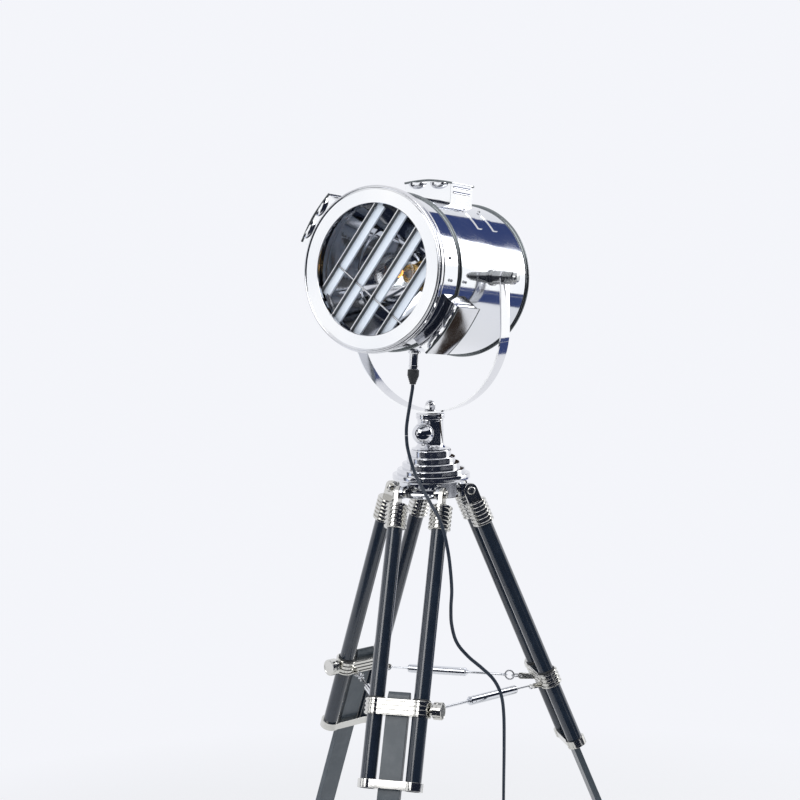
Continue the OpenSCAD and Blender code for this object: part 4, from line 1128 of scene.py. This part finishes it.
# the foot leans with its leg, so it is cut flat at the floor
def cutAtFloor(piece):
    pick(piece)
    bpy.ops.object.mode_set(mode="EDIT")
    bpy.ops.mesh.select_all(action="SELECT")
    bpy.ops.mesh.bisect(plane_co=(0, 0, 0), plane_no=(0, 0, 1), use_fill=True, clear_inner=True)
    closeUp()
    bpy.ops.object.mode_set(mode="OBJECT")


for name in legNames:
    for master, part, material, body, slot in legPieces:
        piece = copyOf(master, legFrame(name))
        piece.name = name + part.capitalize()
        if part == "foot":
            cutAtFloor(piece)
        nodes = [] if part == "bushes" else [name + "_" + part]
        finishPiece(piece, material, body + name, slot, *nodes)
    for master, part, material in bracePieces:
        piece = copyOf(master, braceFrame(name))
        piece.name = name + part.capitalize()
        finishPiece(piece, material, "brace_" + name, "polished_nickel", name + "_" + part)
for entry in legPieces + bracePieces:
    bpy.data.objects.remove(entry[0])
print("legs made")

# plug and the tie on the coil, then the cords get their skin and take the place of the CAD cords
plugFrame = Matrix.Translation(plugAt * mm) @ spinZ(cord["plugTurn"]) @ spinY(90)
plugLine = [(0, 0.2), (3.6, 0.2), (4.4, 4), (4.1, 4.8), (4.1, 6), (5.2, 6.6), (6.0, 10), (5.6, 10.8),
            (5.6, 12), (7, 13.6), (9.2, 15), (10.2, 17), (10.4, 20), (10.4, 30), (9.6, 31), (9.6, 38),
            (10.4, 39), (10.4, 42), (9.8, 43.8), (0, 43.8)]
plugBody = turn("plugBody", plugLine, plugFrame, 40)
plugBody.data.materials.append(rubber)
pinLine = [(0, 43), (2, 43), (2, 61), (1.2, 62.8), (0, 63)]
pins = [turn("pin", pinLine, plugFrame @ shift(0, at, 0), 20) for at in (-9.5, 9.5)]
for pin in pins:
    pin.data.materials.append(brass)
plug = join("cordPlug", [plugBody] + pins)
finishPiece(plug, None, "base", "rubber", "plug")
tieLine = [(-8.2, 0.3), (-7.4, 0), (7.4, 0), (8.2, 0.3), (8.4, 1.2), (8.4, 13.4), (7.6, 14.6), (-7.6, 14.6),
           (-8.4, 13.4), (-8.4, 1.2)]
tie = plate("cordTie", tieLine, 9, None, 0)
tieHollow = [(-7.4, 0.9), (7.4, 0.9), (7.4, 13.8), (-7.4, 13.8)]
cut(tie, plate("tieHollow", tieHollow, 14, shift(0, 0, -2), 0))
roundEdges(tie, 0.25, 1)
place(smooth(tie), shift(*cord["coilAt"], 0) @ spinZ(45) @ shift(40, 4.5, 0.05) @ spinX(90))
finishPiece(tie, rubber, "base", "rubber")

cordUpper.data.materials.append(cordSkin)
cordLower.data.materials.append(cordSkin)
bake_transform(cordUpper)
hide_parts("cord_upper")
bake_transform(cordLower)
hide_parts("cord_lower", "cord_coil")

# pale floor and sky, and a studio of dark and bright cards that only reflections see
studio = {"sky": (0.905, 0.915, 0.957), "skyLight": 0.8, "floor": (0.84, 0.85, 0.87),
                 "room": (0.012, 0.016, 0.030), "navy": (0.045, 0.068, 0.19), "box": (0.98, 0.99, 1.0)}
world = bpy.data.worlds.new("studio")
bpy.context.scene.world = world
world.use_nodes = True
tree = world.node_tree
light = tree.nodes["Background"]
light.inputs["Color"].default_value = (1, 1, 1, 1)
light.inputs["Strength"].default_value = studio["skyLight"]
seenSky = addNode(tree, "ShaderNodeBackground")
seenSky.inputs["Color"].default_value = (*studio["sky"], 1)
paths = addNode(tree, "ShaderNodeLightPath")
seen = paths.outputs["Is Camera Ray"]
for ray in ("Is Glossy Ray", "Is Transmission Ray"):
    either = addNode(tree, "ShaderNodeMath", operation="MAXIMUM")
    tree.links.new(seen, either.inputs[0])
    tree.links.new(paths.outputs[ray], either.inputs[1])
    seen = either.outputs["Value"]
chooser = addNode(tree, "ShaderNodeMixShader")
tree.links.new(seen, chooser.inputs["Fac"])
tree.links.new(light.outputs["Background"], chooser.inputs[1])
tree.links.new(seenSky.outputs["Background"], chooser.inputs[2])
tree.links.new(chooser.outputs["Shader"], tree.nodes["World Output"].inputs["Surface"])


def glowing(name, colour, strength=1.0):
    material = bpy.data.materials.new(name)
    material.use_nodes = True
    tree = material.node_tree
    tree.nodes.remove(tree.nodes["Principled BSDF"])
    glow = addNode(tree, "ShaderNodeEmission", Strength=strength)
    glow.inputs["Color"].default_value = (*colour, 1)
    tree.links.new(glow.outputs["Emission"], tree.nodes["Material Output"].inputs["Surface"])
    return material, tree, glow


deselectAll()
bpy.ops.mesh.primitive_circle_add(vertices=96, radius=9, fill_type="NGON", location=(0, 0, -0.0005))
floor = bpy.context.object
floor.name = "floor"
floorPaint, tree, shader = newMaterial("floorPaint", studio["floor"], 0, 0.6)
shader.inputs["Specular IOR Level"].default_value = 0
coordinates = addNode(tree, "ShaderNodeTexCoord")
distance = addNode(tree, "ShaderNodeVectorMath", operation="LENGTH")
tree.links.new(coordinates.outputs["Object"], distance.inputs[0])
fade = ramp(tree, distance.outputs["Value"], 0, 1, (1.0, 2.2))
glow = addNode(tree, "ShaderNodeEmission", Strength=1.0)
glow.inputs["Color"].default_value = (*studio["sky"], 1)
blendOver = addNode(tree, "ShaderNodeMixShader")
tree.links.new(fade, blendOver.inputs["Fac"])
tree.links.new(shader.outputs["BSDF"], blendOver.inputs[1])
tree.links.new(glow.outputs["Emission"], blendOver.inputs[2])
tree.links.new(blendOver.outputs["Shader"], tree.nodes["Material Output"].inputs["Surface"])
floor.data.materials.append(floorPaint)

roomDark = glowing("roomDark", studio["room"])[0]
navyCard = glowing("navyCard", studio["navy"])[0]
softBox = glowing("softBox", studio["box"], 1.25)[0]
blueBox = glowing("blueBox", (0.66, 0.74, 0.95))[0]
brownCard = glowing("brownCard", (0.030, 0.022, 0.018))[0]


def asCard(piece, material):
    piece.data.materials.append(material)
    piece.visible_camera = False
    piece.visible_shadow = False
    piece.visible_diffuse = False
    return piece


def flatCard(name, material, size, matrix):
    deselectAll()
    bpy.ops.mesh.primitive_plane_add(size=1, location=(0, 0, 0))
    piece = bpy.context.object
    piece.name = name
    piece.scale = (*size, 1)
    bpy.ops.object.transform_apply(location=True, rotation=True, scale=True)
    return asCard(place(piece, matrix), material)


# a card stands at a bearing and distance from the lamp, between two heights, as wide as its angle
def card(name, material, bearing, angle, distance, low, high):
    spot = (distance * cos(radians(bearing)), distance * sin(radians(bearing)), (low + high) / 2)
    size = (2 * distance * tan(radians(angle / 2)), high - low)
    return flatCard(name, material, size, Matrix.Translation(spot) @ spinZ(bearing + 90) @ spinX(90))


# the dark room is half a ring of walls and a floor, in front of the lamp
room = {"from": -180, "to": 9, "panels": 6, "away": 6.4, "high": 5.2, "floorSize": (7.5, 5.6),
        "floorAt": (0, -3.6, 0.004)}
span = (room["to"] - room["from"]) / room["panels"]
for k in range(room["panels"]):
    card("roomWall", roomDark, room["from"] + span * (k + 0.5), span, room["away"], 0.01, room["high"])
flatCard("roomFloor", roomDark, room["floorSize"], Matrix.Translation(room["floorAt"]))

# the bright and blue cards
card("boxLeft", softBox, -161, 24, 4.6, 1.55, 3.0)
card("boxLow", blueBox, -166, 9, 4.6, 0.05, 0.95)
card("boxSlim", softBox, -159, 11, 4.6, 0.55, 1.56)
card("boxRight", softBox, 21.5, 24, 4.8, 0.30, 2.90)
card("boxFront", softBox, -124, 20, 3.6, 3.9, 5.0)
card("boxSpark", softBox, -20, 9, 3.0, 4.3, 4.9)
card("navyHigh", navyCard, 48, 32, 4.9, 2.62, 4.7)
card("navyTop", navyCard, 21, 24, 4.9, 2.92, 4.7)
card("navyLow", navyCard, 30, 40, 4.95, 0.02, 0.28)
flatCard("navyFloor", navyCard, (1.7, 3.4), spinZ(30) @ shift(4100, 0, 6))

# a small dark flag where the right vent's roof reflects, as seen by the camera
flag = {"size": (0.46, 0.082), "roofAt": 181, "away": 0.3}
rightTurn = spinZ(-vents["angles"][1])
roofMiddle = vents["fronts"][1] - vents["depths"][1] / 2
roofSpot = headFrame @ rightTurn @ Vector((0, flag["roofAt"] * mm, roofMiddle * mm))
roofOut = (headFrame.to_3x3() @ rightTurn.to_3x3() @ Vector((0, 1, 0))).normalized()
headForward = (headFrame.to_3x3() @ Vector((0, 0, 1))).normalized()
sight = (roofSpot - camera.matrix_world.translation).normalized()
bounce = sight - 2 * sight.dot(roofOut) * roofOut
across = bounce.cross(headForward).normalized()
flagFrame = axes(across, headForward, across.cross(headForward), roofSpot + flag["away"] * bounce)
flatCard("ventFlag", brownCard, flag["size"], flagFrame)


def softLamp(name, spot, aim, size, watts):
    bpy.ops.object.light_add(type="AREA", location=spot)
    lamp = bpy.context.object
    lamp.name = name
    lamp.data.shape = "RECTANGLE"
    lamp.data.size, lamp.data.size_y = size
    lamp.data.energy = watts
    lamp.rotation_euler = (Vector(aim) - Vector(spot)).to_track_quat("-Z", "Y").to_euler()
    return lamp


softLamp("keyLamp", (-2.6, -3.4, 3.6), (0, 0, 1.2), (2.2, 2.2), 60)
softLamp("rimLamp", (2.8, 1.2, 2.6), (0, 0, 1.2), (1.2, 2.0), 30)

bpy.context.scene.view_settings.view_transform = "Standard"
print("stage set")
